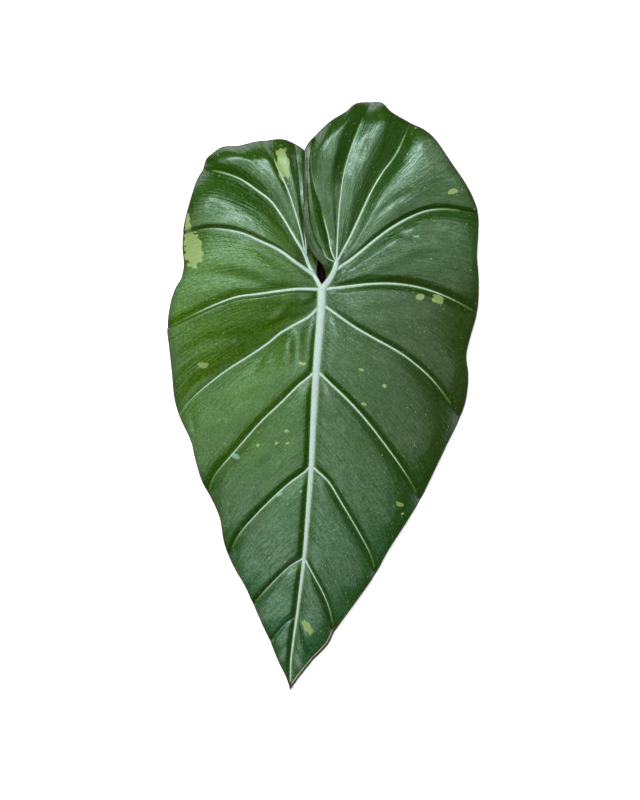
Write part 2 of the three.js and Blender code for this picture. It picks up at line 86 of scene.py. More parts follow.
# The lines of each half, from the sinus to the tip. A line starts on the trunk or the midrib, at a
# share of its length, and ends on the margin. A row holds, in this order:
# - the name of its spine and the share, the width of its rib, and where along it the rib dies out
# - how far the dips beside it run, towards the sinus and the tip
# - how much more the sheet bulges up after the line than elsewhere, and how far that bulge leans
#   towards the next line
# - its form: its height at the margin, how far it bows up, how late it falls, how far the very edge
#   curls down, and how far the margin rises before the next line
# - its points, and the margin's points before the next line's end
LINES = {
    "left": [
        ("trunk", 0, 0, None, None, (1, 0), (8, 0, 1.5, 0, 0), [
            (-1.6, 4), (-2.7, 8), (-2.6, 13), (-1.2, 21), (-0.6, 34), (-1.8, 50), (-5.5, 65.5),
        ], [(-9.5, 70.5)]),
        ("trunk", 1, 1.1, 0.3, (3, 3), (1, 0), (7, 0.5, 1.5, 0.4, 0.6), [
            (-8, 23), (-8.9, 31), (-10.3, 42), (-11.6, 55), (-13.6, 73.2),
        ], [(-19.5, 75.6)]),
        ("trunk", 1, 0.9, 0.9, (2, 2), (1.1, 0.3), (6.8, 0.5, 1.5, 5.2, 1), [
            (-10.3, 27.8), (-13.7, 40), (-18, 52.2), (-22.8, 62.5), (-27.5, 75.5),
        ], [(-34, 74.6), (-42, 72.6), (-50, 72), (-54.5, 69.2), (-58, 66.2)]),
        ("trunk", 1, 1.5, 0.93, (5, 8.5), (1.4, 0.45), (4.2, -1.5, 1.6, 4.4, 2.2), [
            (-14.1, 27), (-19.5, 36.2), (-25.6, 44.6), (-32.5, 50), (-40.1, 55.3), (-49, 59),
            (-59.8, 61.2),
        ], [(-62.4, 56.6), (-66.1, 44.5), (-68.6, 35)]),
        ("trunk", 0.45, 1.9, 0.94, (1.2, 8), (0.8, 0.1), (2.6, 2.3, 1.8, 0.8, 3), [
            (-12.6, 13.2), (-21, 19.3), (-30.2, 23.9), (-40.1, 28.3), (-49.3, 30.3), (-57.5, 30.8),
            (-69.6, 28.8),
        ], [(-69.9, 22), (-69, 12.5), (-70.2, 6.2), (-73.4, 0.2), (-75.6, -6.5)]),
        ("midrib", 0, 1.5, 0.88, (4, 1.2), (1.15, -0.55), (6, 2.6, 1.2, 0, 0.6), [
            (-11.8, 0.2), (-22.3, -0.9), (-32.3, -2.3), (-42, -3.5), (-51, -6.5), (-60.3, -10.5),
            (-69, -14.6), (-77.2, -18.5),
        ], [(-76.2, -29.5), (-75, -42), (-74, -54)]),
        ("midrib", 0.035, 1.4, 1, (12, 7), (1, 0.1), (1, -3.1, 1.5, 0.2, 2.4), [
            (-5.8, -13), (-13.6, -17.5), (-20.4, -21.3), (-26.7, -26.4), (-33.7, -31.2),
            (-49.7, -41.4), (-65.9, -54.8), (-71.8, -62.5),
        ], [(-65.4, -76), (-63.8, -83), (-60.2, -95.5)]),
        ("midrib", 0.2, 1.1, 0.98, (4.4, 6.5), (1, 0.1), (1.4, -0.4, 1.6, 0.2, 2), [
            (-6.2, -43.4), (-11.4, -47.5), (-20.5, -56.5), (-29.7, -65.1), (-43.5, -80.6),
            (-54.4, -93.8), (-57.3, -101.3),
        ], [(-53.8, -107.6), (-51, -114.5), (-49.2, -125.5)]),
        ("midrib", 0.437, 1.0, 0.92, (3.2, 6), (1, 0.3), (1.6, 1, 1.5, 0.2, 1.4), [
            (-8.2, -90.6), (-17.7, -97.8), (-32, -111.5), (-42.3, -123.6), (-46.8, -133.3),
        ], [(-43, -140.8), (-38.6, -148)]),
        ("midrib", 0.668, 0.8, 0.92, (2.2, 4.5), (1, 0.3), (1.6, 0.8, 1.5, 0.2, 1), [
            (-14.9, -137.5), (-20, -141.9), (-29.2, -151.5), (-34.4, -157.5),
        ], [(-30.8, -165.5)]),
        ("midrib", 0.817, 0, None, (1.8, 1.4), (1, 0), (1.4, 0.5, 1.5, 0.5, 0.5), [
            (-17.5, -166.3), (-21.8, -171), (-26, -176),
        ], [(-21.5, -186.8), (-18, -194)]),
    ],
    "right": [
        ("trunk", 0, 0, None, None, (1, 0), (9.6, 0.4, 1.3, 0, 0), [
            (1.5, 3), (2.3, 7.5), (0.6, 11.8), (-3.8, 17), (-7.4, 24), (-9, 33), (-8.6, 50),
            (-8.4, 70),
        ], []),
        ("trunk", 1, 0.4, 0.15, (2.5, 2.5), (1, 0), (9.8, 0.4, 1.3, 0, 0.2), [
            (2.6, 15.4), (0.2, 19.6), (-3.6, 27), (-6.4, 42), (-7.3, 60), (-6.6, 73.4),
        ], []),
        ("trunk", 1, 0.7, 0.4, (2.5, 9), (1.8, -0.1), (9.8, -0.3, 1.3, 1.6, 1), [
            (4.6, 19), (3.4, 25.5), (0.4, 37.7), (-4, 52.2), (-5.6, 64), (-3.6, 76.8),
        ], [(4.2, 84), (12.3, 89.2), (17, 93.3)]),
        ("trunk", 1, 0.7, 0.85, (8, 9), (1.5, -0.1), (9, 0.2, 1.3, 5.4, 2), [
            (7.9, 28.5), (8.9, 42.3), (10.9, 57.5), (13.8, 68.3), (17.2, 78.2), (24.6, 94.5),
        ], [(29.9, 93.9), (34.4, 89.2)]),
        ("trunk", 1, 1.1, 0.9, (11, 5.5), (1.5, -0.3), (8, -1.7, 1.4, 1.8, 2), [
            (14.4, 27), (20, 39.2), (24.7, 49.2), (30, 58.3), (36, 66.5), (44.5, 83.7),
        ], [(54.4, 77.4), (64.3, 63.7), (73.7, 49.6)]),
        ("trunk", 0.7, 1.5, 0.88, (1.6, 7), (1.3, -0.1), (7.4, 0.4, 1.4, 1, 2), [
            (16.2, 16.2), (25.4, 23.9), (34.5, 30.8), (44.5, 36.5), (52.9, 39.6), (62, 40.5),
            (78, 38.5),
        ], [(78, 28.5), (77.4, 17), (78.4, 4)]),
        ("midrib", 0, 1.4, 0.97, (3.6, 3), (0.8, 0.1), (3, 0.8, 2.1, 0.8, 2.6), [
            (12.3, 1.4), (22.3, 2.6), (33, 3), (44.5, 2), (55.2, -0.6), (65.2, -4.5), (77.8, -11),
        ], [(74.6, -22.5), (72.3, -32.5), (73.3, -42.5), (72.4, -54)]),
        ("midrib", 0.035, 1.3, 0.9, (2.8, 7), (1, 0), (2, 1.2, 2.2, 2, 2.6), [
            (8, -13), (15.8, -18.4), (25.2, -23.9), (34.5, -28.9), (42.5, -33.9), (56, -45.7),
            (69.4, -63.8),
        ], [(62.8, -77), (57.5, -88)]),
        ("midrib", 0.2, 1.2, 0.95, (3, 6), (1, 0), (2, 1, 2, 1.6, 1.6), [
            (5.8, -48.3), (13.8, -56), (21.9, -65), (37.3, -85.2), (43.7, -94.8), (49.4, -105),
        ], [(43.2, -115), (32.6, -131.5)]),
        ("midrib", 0.437, 1.0, 0.95, (2.4, 5), (1, 0), (1.8, 0.8, 1.4, 0.2, 1.2), [
            (-2.9, -90), (3, -95.5), (10, -106.8), (21.3, -126.4), (24.9, -134), (27, -142),
        ], [(18.2, -154.5)]),
        ("midrib", 0.668, 0.8, 0.92, (2, 4), (1, 0), (1.8, 0.6, 1.3, 0.1, 0.8), [
            (-4.2, -142.9), (-0.1, -150.5), (3.4, -159), (6.2, -171.4),
        ], [(3, -177.5)]),
        ("midrib", 0.817, 0, None, (1.6, 1.4), (1, 0), (1.4, 0.4, 1.3, 0.6, 0.4), [
            (-11.2, -171.5), (-9, -178), (-4.6, -185.8),
        ], [(-11.3, -194)]),
    ],
}
FORM_NAMES = ("height", "arch", "droop", "curl", "wave")

# Ribs: half the midrib's width at its root, and the share of its width that a side vein or the
# midrib loses by its end. The painted shade and the fringe beside the midrib taper a little less
# than the rib.
MIDRIB_HALF = 2.3
TAPER = 0.75
MIDRIB_TAPER = 0.86
MIDRIB_COLOUR_TAPER = 0.8

# The sheet between the ribs
SPINE_VALLEY = {"left": 2.4, "right": 4.6}  # reach of the dip beside the midrib and the trunk
KNEE = 0.3  # how round the edge of a dip is
DIP_SHARE = 0.6  # most of a panel's width that one dip takes
WIDE_PANEL = 24.0  # narrower panels bulge less
CURL_REACH = 12.0  # how far in from the margin the edge curls
CURL_START = 0.3  # share of a line by which it curls in full
RIPPLE_HEIGHT = 0.45
RIPPLE_WAVES = 9
RIPPLE_SEED = {"left": 0, "right": 100}
RIPPLE_WIDTH_AT = 0.6  # share of its lines at which a panel's width is taken for its ripples

# The sheet's points gather at the ends of their rows: over how many mm at the root, at the margin,
# beside a rib and beside a line without one, in how many steps, over which share of the row at
# most, and how fast these steps grow. Even places at the root turn into gathered ones over a share
# of the way to the margin.
ROOT_STRETCH = 6
MARGIN_STRETCH = 7
RIB_STRETCH = 5.0
BARE_STRETCH = 2.0
STRETCH_STEPS = 8
STRETCH_MOST = 0.24
STRETCH_GROWTH = 1.6
GATHER_SHARE = 0.15
WELD_STEPS = 500  # the points are joined to 1/500 mm

# The panels' places on the grain, and how fast the colour beside a rib fades past its end
GRAIN_STEP = 60
GRAIN_START = {"left": 0, "right": 20}
FLANK_FADE = 0.7

# The edges of the sinus part from each other, so that the right lobe lies over the left one: how
# far, over what reach, and what share of it is lost again. The parting grows over the first stretch
# above the junction, and eases over the second.
SINUS_LIFT = {"left": -5.0, "right": 5.2}
SINUS_REACH = {"left": 11.0, "right": 12.0}
SINUS_EASING = {"left": 0.0, "right": 0.75}
SINUS_START = (0, 20)
SINUS_EASE_OUT = (38, 58)

# Creases between the veins: their points, depth and how far they reach to each side
CREASES = [
    ([(-12, -12), (-12.3, -27), (-12.7, -41)], 1.9, 3.4),
    ([(-16.5, -17), (-16.8, -28), (-17.3, -40)], -1.3, 3.4),
    ([(-41, 24.5), (-29, 18.5), (-18, 11), (-9, 5)], 1.3, 3.6),
    ([(-74, 3.5), (-59, 7), (-47.5, 7), (-35, 4.5), (-26, 2)], 2.4, 3.0),
    ([(-48, -106), (-30, -89), (-11, -71)], 1.2, 1.7),
    ([(-43.5, -57.5), (-30, -49)], 1.1, 1.7),
    ([(-37, -43), (-32, -38), (-29, -33)], 0.7, 1.8),
    ([(-73.5, -35), (-57.5, -25.5), (-38, -22.5)], 1.0, 2.4),
    ([(-73, -46), (-66, -38.5), (-56, -34)], 0.9, 1.7),
    ([(-71, -56), (-64, -47.5), (-55, -41)], 0.8, 1.5),
    ([(-67.5, -58), (-65, -66), (-62.5, -76)], 0.5, 1.6),
    ([(-8.5, -3.5), (-8.8, -8)], -0.7, 1.5),
    ([(-17.5, -4.5), (-18.5, -9.5), (-28, -18)], -0.9, 2.0),
    ([(35, -15.5), (41.5, -24.5), (53, -30), (72, -37)], 0.9, 2.4),
    ([(36.5, 27.5), (49, 26), (64, 25)], 0.9, 1.9),
    ([(42, 19), (51, 15.5), (61, 16)], 0.7, 1.6),
    ([(45, 32), (53, 32.5), (61, 31.5)], 0.6, 1.3),
    ([(27, 36), (36, 44), (47, 50)], 0.8, 1.6),
    ([(36.5, 65), (41, 72)], 1.2, 1.5),
    ([(20, 64), (23, 76)], 0.8, 1.4),
]

# Pale patches: centre, half length and half width in mm, and the turn of the long side in degrees
PATCHES = [
    (-64.6, 20.8, 9.4, 4.6, -82),
    (-67.6, 33.5, 6, 1.8, -80),
    (-19.4, 63.5, 9.4, 3.2, -80),
    (-60.1, -37.4, 3.1, 1.5, -8),
    (-9.5, -36.9, 2.1, 0.8, -8),
    (65.2, 49, 2.4, 1.4, 15),
    (48.8, -3.6, 2.1, 1.5, 0),
    (58.2, -5, 3.1, 2.2, -35),
    (-7.2, -169.2, 4.6, 1.8, -50),
    (38.8, -107.2, 2.3, 1, -25),
    (40.5, -112, 1, 0.8, 0),
    (-17.5, -70.5, 1.2, 0.9, 0),
    (-22.5, -76.5, 1.1, 0.6, 30),
    (-32, -77.5, 0.9, 0.8, 0),
    (-17, -76.5, 1.1, 0.6, 30),
    (21, -57, 1.3, 0.7, -20),
    (19.5, -40, 1.3, 0.6, -20),
    (31, -48, 0.9, 0.9, 0),
]

# Small bluish scars, in the same way
SCARS = [
    (-43.5, -83, 2.2, 1.2, -25),
    (-21.3, -102.3, 1.8, 0.7, 30),
    (-10.5, -100.5, 0.8, 0.5, 60),
    (12.5, -164, 1.4, 0.6, -50),
    (47, 26.5, 1.6, 0.5, 10),
]

# Colours beyond those in the panel, as linear red, green and blue
WHITE = (1.0, 1.0, 1.0)
# Lighter on the left as painted light, lighter and bluer at the tip as painted sheen, and darker at
# the right's middle as painted shade
LEFT_YELLOW_LIT_LEAF = (0.056, 0.124, 0.003)
LEFT_YELLOW_LIT_DEEP = (0.030, 0.076, 0.001)
TIP_SHEEN_LEAF = (0.032, 0.104, 0.044)
OLIVE_SHADED_LEAF = (0.028, 0.046, 0.010)
OLIVE_SHADED_DEEP = (0.018, 0.030, 0.006)
FINE_STREAK = (0.028, 0.09, 0.013)
FRINGE = (0.060, 0.14, 0.011)
YELLOW_DASH = (0.20, 0.27, 0.07)
BLUISH_SPECK = (0.16, 0.25, 0.20)
SCAR = (0.17, 0.28, 0.24)
# Painted shade standing in for the underside of a rolled edge
ROLL_PAINTED_SHADE = (0.010, 0.030, 0.026)
ROLLED_TAN = (0.36, 0.30, 0.22)
EDGE_BROWN = (0.05, 0.03, 0.025)
UNDER_VEIN = (0.17, 0.26, 0.09)
RIB_FLANK = (0.18, 0.33, 0.07)
RIB_KEEL = (0.21, 0.36, 0.12)
RIB_END = (0.05, 0.15, 0.02)
MARGIN_GREEN = (0.045, 0.060, 0.022)
TIP_POINT_BROWN = (0.060, 0.022, 0.014)
SKIN_FLECK = (0.12, 0.10, 0.035)
# Painted shade for the petiole under the blade
SKIN_PAINTED_SHADE = (0.003, 0.002, 0.002)
CUT_DARK = (0.20, 0.26, 0.10)
CUT_LIGHT = (0.36, 0.42, 0.20)

# Petiole: points of its axis with their heights, and its radii at even steps along it
PETIOLE_PATH = [
    (0.2, 63, 2.8), (0.1, 47, 2.8), (0, 31, 2.8), (0, 18, 4), (0, 7, 7.4), (-0.1, -3, 11.8),
]
PETIOLE_RADII = [3, 2.95, 2.9, 3.1, 3.6, 3]

# Swept pieces: steps along them in mm, points along the petiole, faces round a section, and the
# margin's depth below its middle, as a share of its half width
VEIN_STEP = 1.0
MARGIN_STEP = 0.8
PETIOLE_POINTS = 90
VEIN_SIDES = 14
MARGIN_SIDES = 8
MARGIN_KEEL = 0.7

# Where the midrib ends, how far it and the trunks take on the green of a rib's end, and how much a
# side vein widens at its root, over what reach in mm
MIDRIB_END = 0.985
MIDRIB_GREENING = 0.6
TRUNK_GREENING = 0.3
ROOT_FLARE = 0.35
FLARE_REACH = 3.0

# A side vein thins over the last sixth of its rib, to a share of its width, and so does the petiole
# over a short stretch at its cut end
THIN_SPEED = 6
THIN_LEAST = 0.25
THIN_POWER = 0.6
CUT_STRETCH = 0.008
CUT_LEAST = 0.9

# The dry point at the leaf's tip, with its height and radii
TIP_POINT = [(-15.7, -196.5), (-15.8, -198.5), (-15.9, -200), (-15.9, -201)]
TIP_POINT_HEIGHT = 0.8
TIP_POINT_RADII = [1.0, 0.8, 0.55, 0.3]

# Softboxes, which face straight down: name, place and size in metres, share of the power in the
# panel, and colour
SOFTBOXES = [
    ("wide softbox", (-0.86, 0.37, 1.9), (4.9, 2.74), 1.1, WHITE),
    ("left softbox", (-1.6, 0.5, 1.85), (3.4, 2.8), 0.58, WHITE),
    ("back softbox", (0.25, 0.88, 1.8), (1.9, 1.25), 0.18, WHITE),
    ("bright softbox", (-0.75, 0.96, 1.7), (1.8, 0.5), 0.58, (0.8, 0.93, 1.0)),
    ("front softbox", (-0.5, -0.6, 1.82), (3.0, 0.42), 0.055, WHITE),
]
ROOM = (0.9, 0.96, 1.0)
ROOM_STRENGTH = 0.025

# Floor and camera, in metres. The photograph's 800 pixels span 400 mm of the leaf's own plane, seen
# from straight above.
FLOOR_HALF = 6.0
PHOTO_SPAN = 0.4
LEAF_PLANE = 0.010
CAMERA_PLACE = (-0.0015, -0.0020)
SENSOR = 36.0  # its width in mm


class LeafBladeSettings(bpy.types.PropertyGroup):
    """Sizes and colours of the blade."""

    thickness: FloatProperty(
        name="Thickness", description="Thickness of the blade's sheet between its veins",
        default=0.55 * MM, min=0.2 * MM, unit="LENGTH",
    )
    quilt: FloatProperty(
        name="Quilting", description="How far the sheet bulges up between two veins",
        default=2.2 * MM, min=0.0, unit="LENGTH",
    )
    rows: IntProperty(name="Rows", description="Steps from a rib to the margin", default=60, min=16)
    columns: IntProperty(
        name="Columns", description="Steps from one side vein to the next", default=26, min=18
    )
    deep_green: FloatVectorProperty(
        name="Deep green", description="Colour of the upper face in its darkest parts",
        subtype="COLOR", size=3, default=(0.013, 0.042, 0.0015),
    )
    leaf_green: FloatVectorProperty(
        name="Leaf green", description="Colour of the upper face in its lighter parts",
        subtype="COLOR", size=3, default=(0.022, 0.062, 0.007),
    )
    pale_patch: FloatVectorProperty(
        name="Pale patch", description="Colour of the variegated patches",
        subtype="COLOR", size=3, default=(0.195, 0.26, 0.085),
    )
    underside: FloatVectorProperty(
        name="Underside", description="Colour of the underside",
        subtype="COLOR", size=3, default=(0.085, 0.165, 0.045),
    )


class LeafVeinSettings(bpy.types.PropertyGroup):
    """Sizes and colours of the veins and of the margin."""

    rise: FloatProperty(
        name="Rise", description="Height of a vein above the blade, as a share of its half width",
        default=0.42, min=0.0,
    )
    keel: FloatProperty(
        name="Keel", description="Depth of a vein below the blade, as a share of its half width",
        default=1.05, min=0.0,
    )
    midrib: FloatProperty(
        name="Midrib width", description="Width of the midrib where it leaves the junction",
        default=4.6 * MM, min=0.0, unit="LENGTH",
    )
    margin: FloatProperty(
        name="Margin", description="Thickness of the coloured margin",
        default=0.62 * MM, min=0.0, unit="LENGTH",
    )
    pale: FloatVectorProperty(
        name="Vein", description="Colour of the veins on the upper face",
        subtype="COLOR", size=3, default=(0.325, 0.42, 0.37),
    )
    margin_colour: FloatVectorProperty(
        name="Margin colour", description="Colour of the thin line round the blade",
        subtype="COLOR", size=3, default=(0.035, 0.020, 0.018),
    )


class LeafPetioleSettings(bpy.types.PropertyGroup):
    """Sizes and colours of the petiole."""

    sides: IntProperty(name="Sides", description="Faces round the petiole", default=48, min=12)
    skin: FloatVectorProperty(
        name="Skin", description="Colour of the petiole's skin",
        subtype="COLOR", size=3, default=(0.050, 0.022, 0.012),
    )


class LeafStageSettings(bpy.types.PropertyGroup):
    """The floor, the light and the camera."""

    floor: FloatVectorProperty(
        name="Floor", description="Colour of the floor",
        subtype="COLOR", size=3, default=(0.92, 0.92, 0.92),
    )
    softbox: FloatProperty(
        name="Softbox", description="Power of which each softbox has its share",
        default=52.0, min=0.0, subtype="POWER",
    )
    lens: FloatProperty(
        name="Lens", description="Focal length of the camera", default=100.0, min=1.0,
        subtype="DISTANCE_CAMERA",
    )


def mix(a, b, share):
    """The value that lies a share of the way from a to b."""
    return a + (b - a) * share


def smoothstep(low, high, x):
    """0 below low and 1 above high, with an S between them."""
    t = np.clip((x - low) / (high - low), 0, 1)
    return t * t * (3 - 2 * t)


def ramp(t):
    """Straight from 0 at 0 to about 1 at 1 and level after it, with a rounded knee."""
    return (t + (1 + KNEE**2) ** 0.5 - np.hypot(t - 1, KNEE)) / 2


class Path:
    """A smooth path through its points, sampled finely and read by share of its length."""

    SPAN_STEPS = 14

    def __init__(self, points):
        self.points = np.array([tuple(map(float, point)) for point in points])
        self.read(0, len(self.points) - 1)

    def read(self, first, last):
        """Samples the stretch between two of the points, counted from 0."""
        steps = max(1, (last - first) * self.SPAN_STEPS)
        stops = [first + (last - first) * i / steps for i in range(steps + 1)]
        self.samples = np.array([self.knot(stop) for stop in stops])
        steps = np.linalg.norm(np.diff(self.samples, axis=0), axis=1)
        self.lengths = np.concatenate(([0], np.cumsum(steps)))
        self.length = self.lengths[-1]

    def knot(self, t):
        """The point at a place counted in points, on a centripetal spline."""
        points = self.points
        if len(points) == 1:
            return points[0]
        i = min(int(t), len(points) - 2)
        share = t - i
        before = points[i - 1] if i > 0 else 2 * points[0] - points[1]
        after = points[i + 2] if i + 2 < len(points) else 2 * points[-1] - points[-2]
        start, end = points[i], points[i + 1]
        d0, d1, d2 = (
            max(np.linalg.norm(q - p) ** 0.5, 1e-4)
            for p, q in ((before, start), (start, end), (end, after))
        )
        m1 = ((start - before) / d0 - (end - before) / (d0 + d1) + (end - start) / d1) * d1
        m2 = ((end - start) / d1 - (after - start) / (d1 + d2) + (after - end) / d2) * d1
        c2 = 3 * (end - start) - 2 * m1 - m2
        c3 = 2 * (start - end) + m1 + m2
        return start + m1 * share + c2 * share**2 + c3 * share**3

    def between(self, first, last):
        """The path's own stretch between two of its points."""
        part = Path(self.points[:1])
        part.points = self.points
        part.read(first, last)
        return part

    def at(self, share):
        """The points at shares of the length."""
        if self.length == 0:
            return np.broadcast_to(self.samples[0], (*np.shape(share), self.samples.shape[1]))
        target = np.clip(share, 0, 1) * self.length
        return np.stack(
            [np.interp(target, self.lengths, column) for column in self.samples.T], axis=-1
        )

    def nearest(self, points):
        """How far points are from the path, and at what share of its length."""
        if self.length == 0:
            return np.linalg.norm(points - self.samples[0], axis=-1), np.zeros(len(points))
        start = self.samples[:-1]
        step = np.diff(self.samples, axis=0)
        share = ((points[:, None] - start) * step).sum(-1) / (step**2).sum(-1)
        share = np.clip(share, 0, 1)
        away = np.linalg.norm(start + share[..., None] * step - points[:, None], axis=-1)
        best = away.argmin(axis=1)
        row = np.arange(len(points))
        along = self.lengths[best] + share[row, best] * np.diff(self.lengths)[best]
        return away[row, best], along / self.length


MIDRIB = Path(MIDRIB_PATH)


def midrib_height(share):
    """Height of the blade's upper face along the midrib."""
    return np.interp(share, MIDRIB_SHARES, MIDRIB_HEIGHTS)


def spread(steps, length, near, far):
    """Shares of a row: close together at its two ends, over the near and far stretches, in mm."""
    ease = (np.arange(STRETCH_STEPS + 1) / STRETCH_STEPS) ** STRETCH_GROWTH
    length = np.asarray(length)[..., None]
    start = np.minimum(near / length, STRETCH_MOST) * ease
    end = 1 - np.minimum(far / length, STRETCH_MOST) * ease[::-1]
    middle = np.linspace(0, 1, steps - 2 * STRETCH_STEPS + 1)[1:-1]
    return np.concatenate((start, mix(start[..., -1:], end[..., :1], middle), end), axis=-1)


def crease_depth(points):
    """How far the creases between the veins press the sheet down."""
    depth = np.zeros(len(points))
    for route, deep, reach in CREASES:
        path = Path(route)
        away, share = path.nearest(points)
        fade = np.sin(np.pi * np.clip(share, 0.02, 0.98)) ** 0.7
        depth = depth + deep * fade * np.exp(-((away / reach) ** 2))
    return depth


def ripple(across, along, seed):
    """Shallow uneven puckers, longer along the veins than across them."""
    random = np.random.default_rng(seed)
    total = np.zeros(np.shape(across))
    for _ in range(RIPPLE_WAVES):
        step_across, step_along = random.uniform(6, 16), random.uniform(22, 60)
        turn, size = random.uniform(0, math.tau), random.uniform(0.4, 1.0)
        total = total + size * np.sin(math.tau * (across / step_across + along / step_along) + turn)
    return total / RIPPLE_WAVES


def pick(shares, number):
    """From each row of shares, the one with the given number."""
    number = np.broadcast_to(number, shares.shape[:-1])[..., None]
    return np.take_along_axis(shares, number, axis=-1)[..., 0]


class Line:
    """One line of a half of the blade, from its root to the margin."""

    def __init__(self, spine, row):
        name, share, self.width, self.fade, self.valley, quilt, form, points, self.edge = row
        self.root = (name, share)
        self.path = Path([spine[name][0].at(share), *points])
        self.swell, self.slant = quilt
        for field, value in zip(FORM_NAMES, form):
            setattr(self, field, value)

    def half_width(self, share):
        """Half the width of its rib."""
        return self.width / 2 * (1 - TAPER * share)


class Panel:
    """The sheet between two lines: u runs from the spine to the margin, v across."""

    def __init__(self, half, number, first, second, edge):
        self.half = half
        self.number = number
        self.first = first
        self.second = second
        self.edge = edge
        name, self.start = first.root
        other, end = second.root
        self.end = end if name == other else 0
        self.spine = half.spine[name]

    def base(self, v):
        """Points of the spine at the panel's root."""
        return self.spine[0].at(mix(self.start, self.end, v))

    def point(self, u, v):
        """Plane points of the panel, blended from its four edges."""
        u = np.asarray(u)[..., None]
        side = np.asarray(v)[..., None]
        flat_u = u[..., 0]
        plane = (1 - side) * self.first.path.at(flat_u) + side * self.second.path.at(flat_u)
        plane = plane + (1 - u) * self.base(v) + u * self.edge.at(v)
        corners = (1 - u) * ((1 - side) * self.base(0.0) + side * self.base(1.0))
        return plane - corners - u * ((1 - side) * self.edge.at(0.0) + side * self.edge.at(1.0))

    def between(self, name, v):
        """A number of the form, part of the way from one line's to the other's."""
        return mix(getattr(self.first, name), getattr(self.second, name), v)

    def length(self, v):
        """How long the panel is from its root to the margin."""
        return mix(self.first.path.length, self.second.path.length, v)

    def width(self, u):
        """How far its two lines are apart."""
        return np.linalg.norm(self.first.path.at(u) - self.second.path.at(u), axis=-1)

    def height(self, u, v, points, quilt):
        """Height of the upper face at plane points of the panel."""
        start = self.spine[1](mix(self.start, self.end, v))
        end = self.between("height", v) + self.first.wave * np.sin(np.pi * v) ** 2
        arch = self.between("arch", v) * 4 * u * (1 - u)
        width = self.width(u)

        def valley(line, side, distance):
            """0 at the line's rib and 1 from the end of the dip beside it on."""
            if line.valley is None:
                return 1.0
            distance = np.maximum(distance - line.half_width(u), 0)
            return ramp(distance / (np.minimum(line.valley[side], DIP_SHARE * width) + 1e-6))

        # The bulge between the ribs
        from_spine = np.maximum(self.half.to_spine(points, MIDRIB_TAPER), 0)
        from_spine = from_spine / SPINE_VALLEY[self.half.side]
        bulge = quilt * np.minimum(1, width / WIDE_PANEL) * ramp(from_spine)
        bulge = bulge * self.first.swell * (1 + self.first.slant * (2 * v - 1))
        bulge = bulge * valley(self.first, 1, v * width) * valley(self.second, 0, (1 - v) * width)

        # The curl of the very edge
        to_margin = (1 - u) * self.length(v)
        curl = self.between("curl", v) * np.clip(1 - to_margin / CURL_REACH, 0, 1) ** 2
        curl = curl * smoothstep(0, CURL_START, u)

        # The parting of the lobes at the sinus
        away = self.half.lines[0].path.nearest(points)[0] / SINUS_REACH[self.half.side]
        near = np.clip(1 - away, 0, 1) ** 1.2
        easing = SINUS_EASING[self.half.side] * smoothstep(*SINUS_EASE_OUT, points[:, 1])
        along = smoothstep(*SINUS_START, points[:, 1]) * (1 - easing)
        lift = SINUS_LIFT[self.half.side] * along * near

        fall = mix(start, end, u ** self.between("droop", v))
        return fall + arch + bulge + lift - curl

    def surface(self, u, v, quilt):
        """Points of the upper face at lists of u and v, and how far along and across they are."""
        plane = self.point(u, v)
        z = self.height(u, v, plane, quilt)
        along = u * self.length(v)
        across = v * self.width(RIPPLE_WIDTH_AT)
        seed = self.number + RIPPLE_SEED[self.half.side]

        # Ripples and creases die out towards the ribs
        inner = 4 * np.clip(v * (1 - v), 0, 1) * np.clip(4 * u, 0, 1)
        z = z + RIPPLE_HEIGHT * inner * ripple(across, along, seed)
        inner = np.clip(6 * v * (1 - v), 0, 1) * np.clip(12 * u, 0, 1)
        return np.column_stack((plane, z - crease_depth(plane) * inner)), along, across

    def to_vein(self, points):
        """Distance to the edge of the nearest pale vein, in mm."""
        best = self.half.to_spine(points, MIDRIB_COLOUR_TAPER)
        for line in (self.first, self.second):
            if line.width:
                away, share = line.path.nearest(points)
                past = np.maximum(share - line.fade, 0) * line.path.length * FLANK_FADE
                best = np.minimum(best, away - line.half_width(share) + past)
        return best

    def to_margin(self, points):
        """Distance to the margin, in mm."""
        best = self.edge.nearest(points)[0]
        for other in self.half.panels:
            if abs(other.number - self.number) == 1:
                best = np.minimum(best, other.edge.nearest(points)[0])
        if self.number < 2:
            best = np.minimum(best, self.half.lines[0].path.nearest(points)[0])
        return best

    def grid(self, settings):
        """A grid of points on the upper face, with what its material needs to know about each."""
        rows, columns = settings.rows, settings.columns
        stops = np.linspace(0, 1, columns + 1)
        if self.number == 0:
            # The panel at the sinus has a column at the fork of its trunk
            fork = TRUNKS[self.half.side]["fork"]
            stops = np.concatenate((stops * fork, mix(fork, 1, stops[1:])))
            columns = 2 * columns
        v = np.broadcast_to(stops, (rows + 1, len(stops)))
        if self.second.path.length:
            rough = spread(rows, self.length(stops) + 1, ROOT_STRETCH, MARGIN_STRETCH).T
            lines = (self.first, self.second)
            near, far = (RIB_STRETCH if line.width else BARE_STRETCH for line in lines)
            across = spread(columns, self.width(rough) + 1e-6, near, far)
            across = pick(across, np.arange(columns + 1))
            v = mix(stops, across, smoothstep(0, GATHER_SHARE, rough))
        shares = spread(rows, self.length(v) + 1, ROOT_STRETCH, MARGIN_STRETCH)
        u = pick(shares, np.arange(rows + 1)[:, None])
        points, along, across = self.surface(u.ravel(), v.ravel(), settings.quilt / MM)
        plane = points[:, :2]
        facts = {"to_vein": self.to_vein(plane), "to_margin": self.to_margin(plane)}
        shift = GRAIN_STEP * (self.number + GRAIN_START[self.half.side])
        uv = np.column_stack((across + shift, along))
        return {"shape": u.shape, "points": points, "facts": facts, "uv": uv}


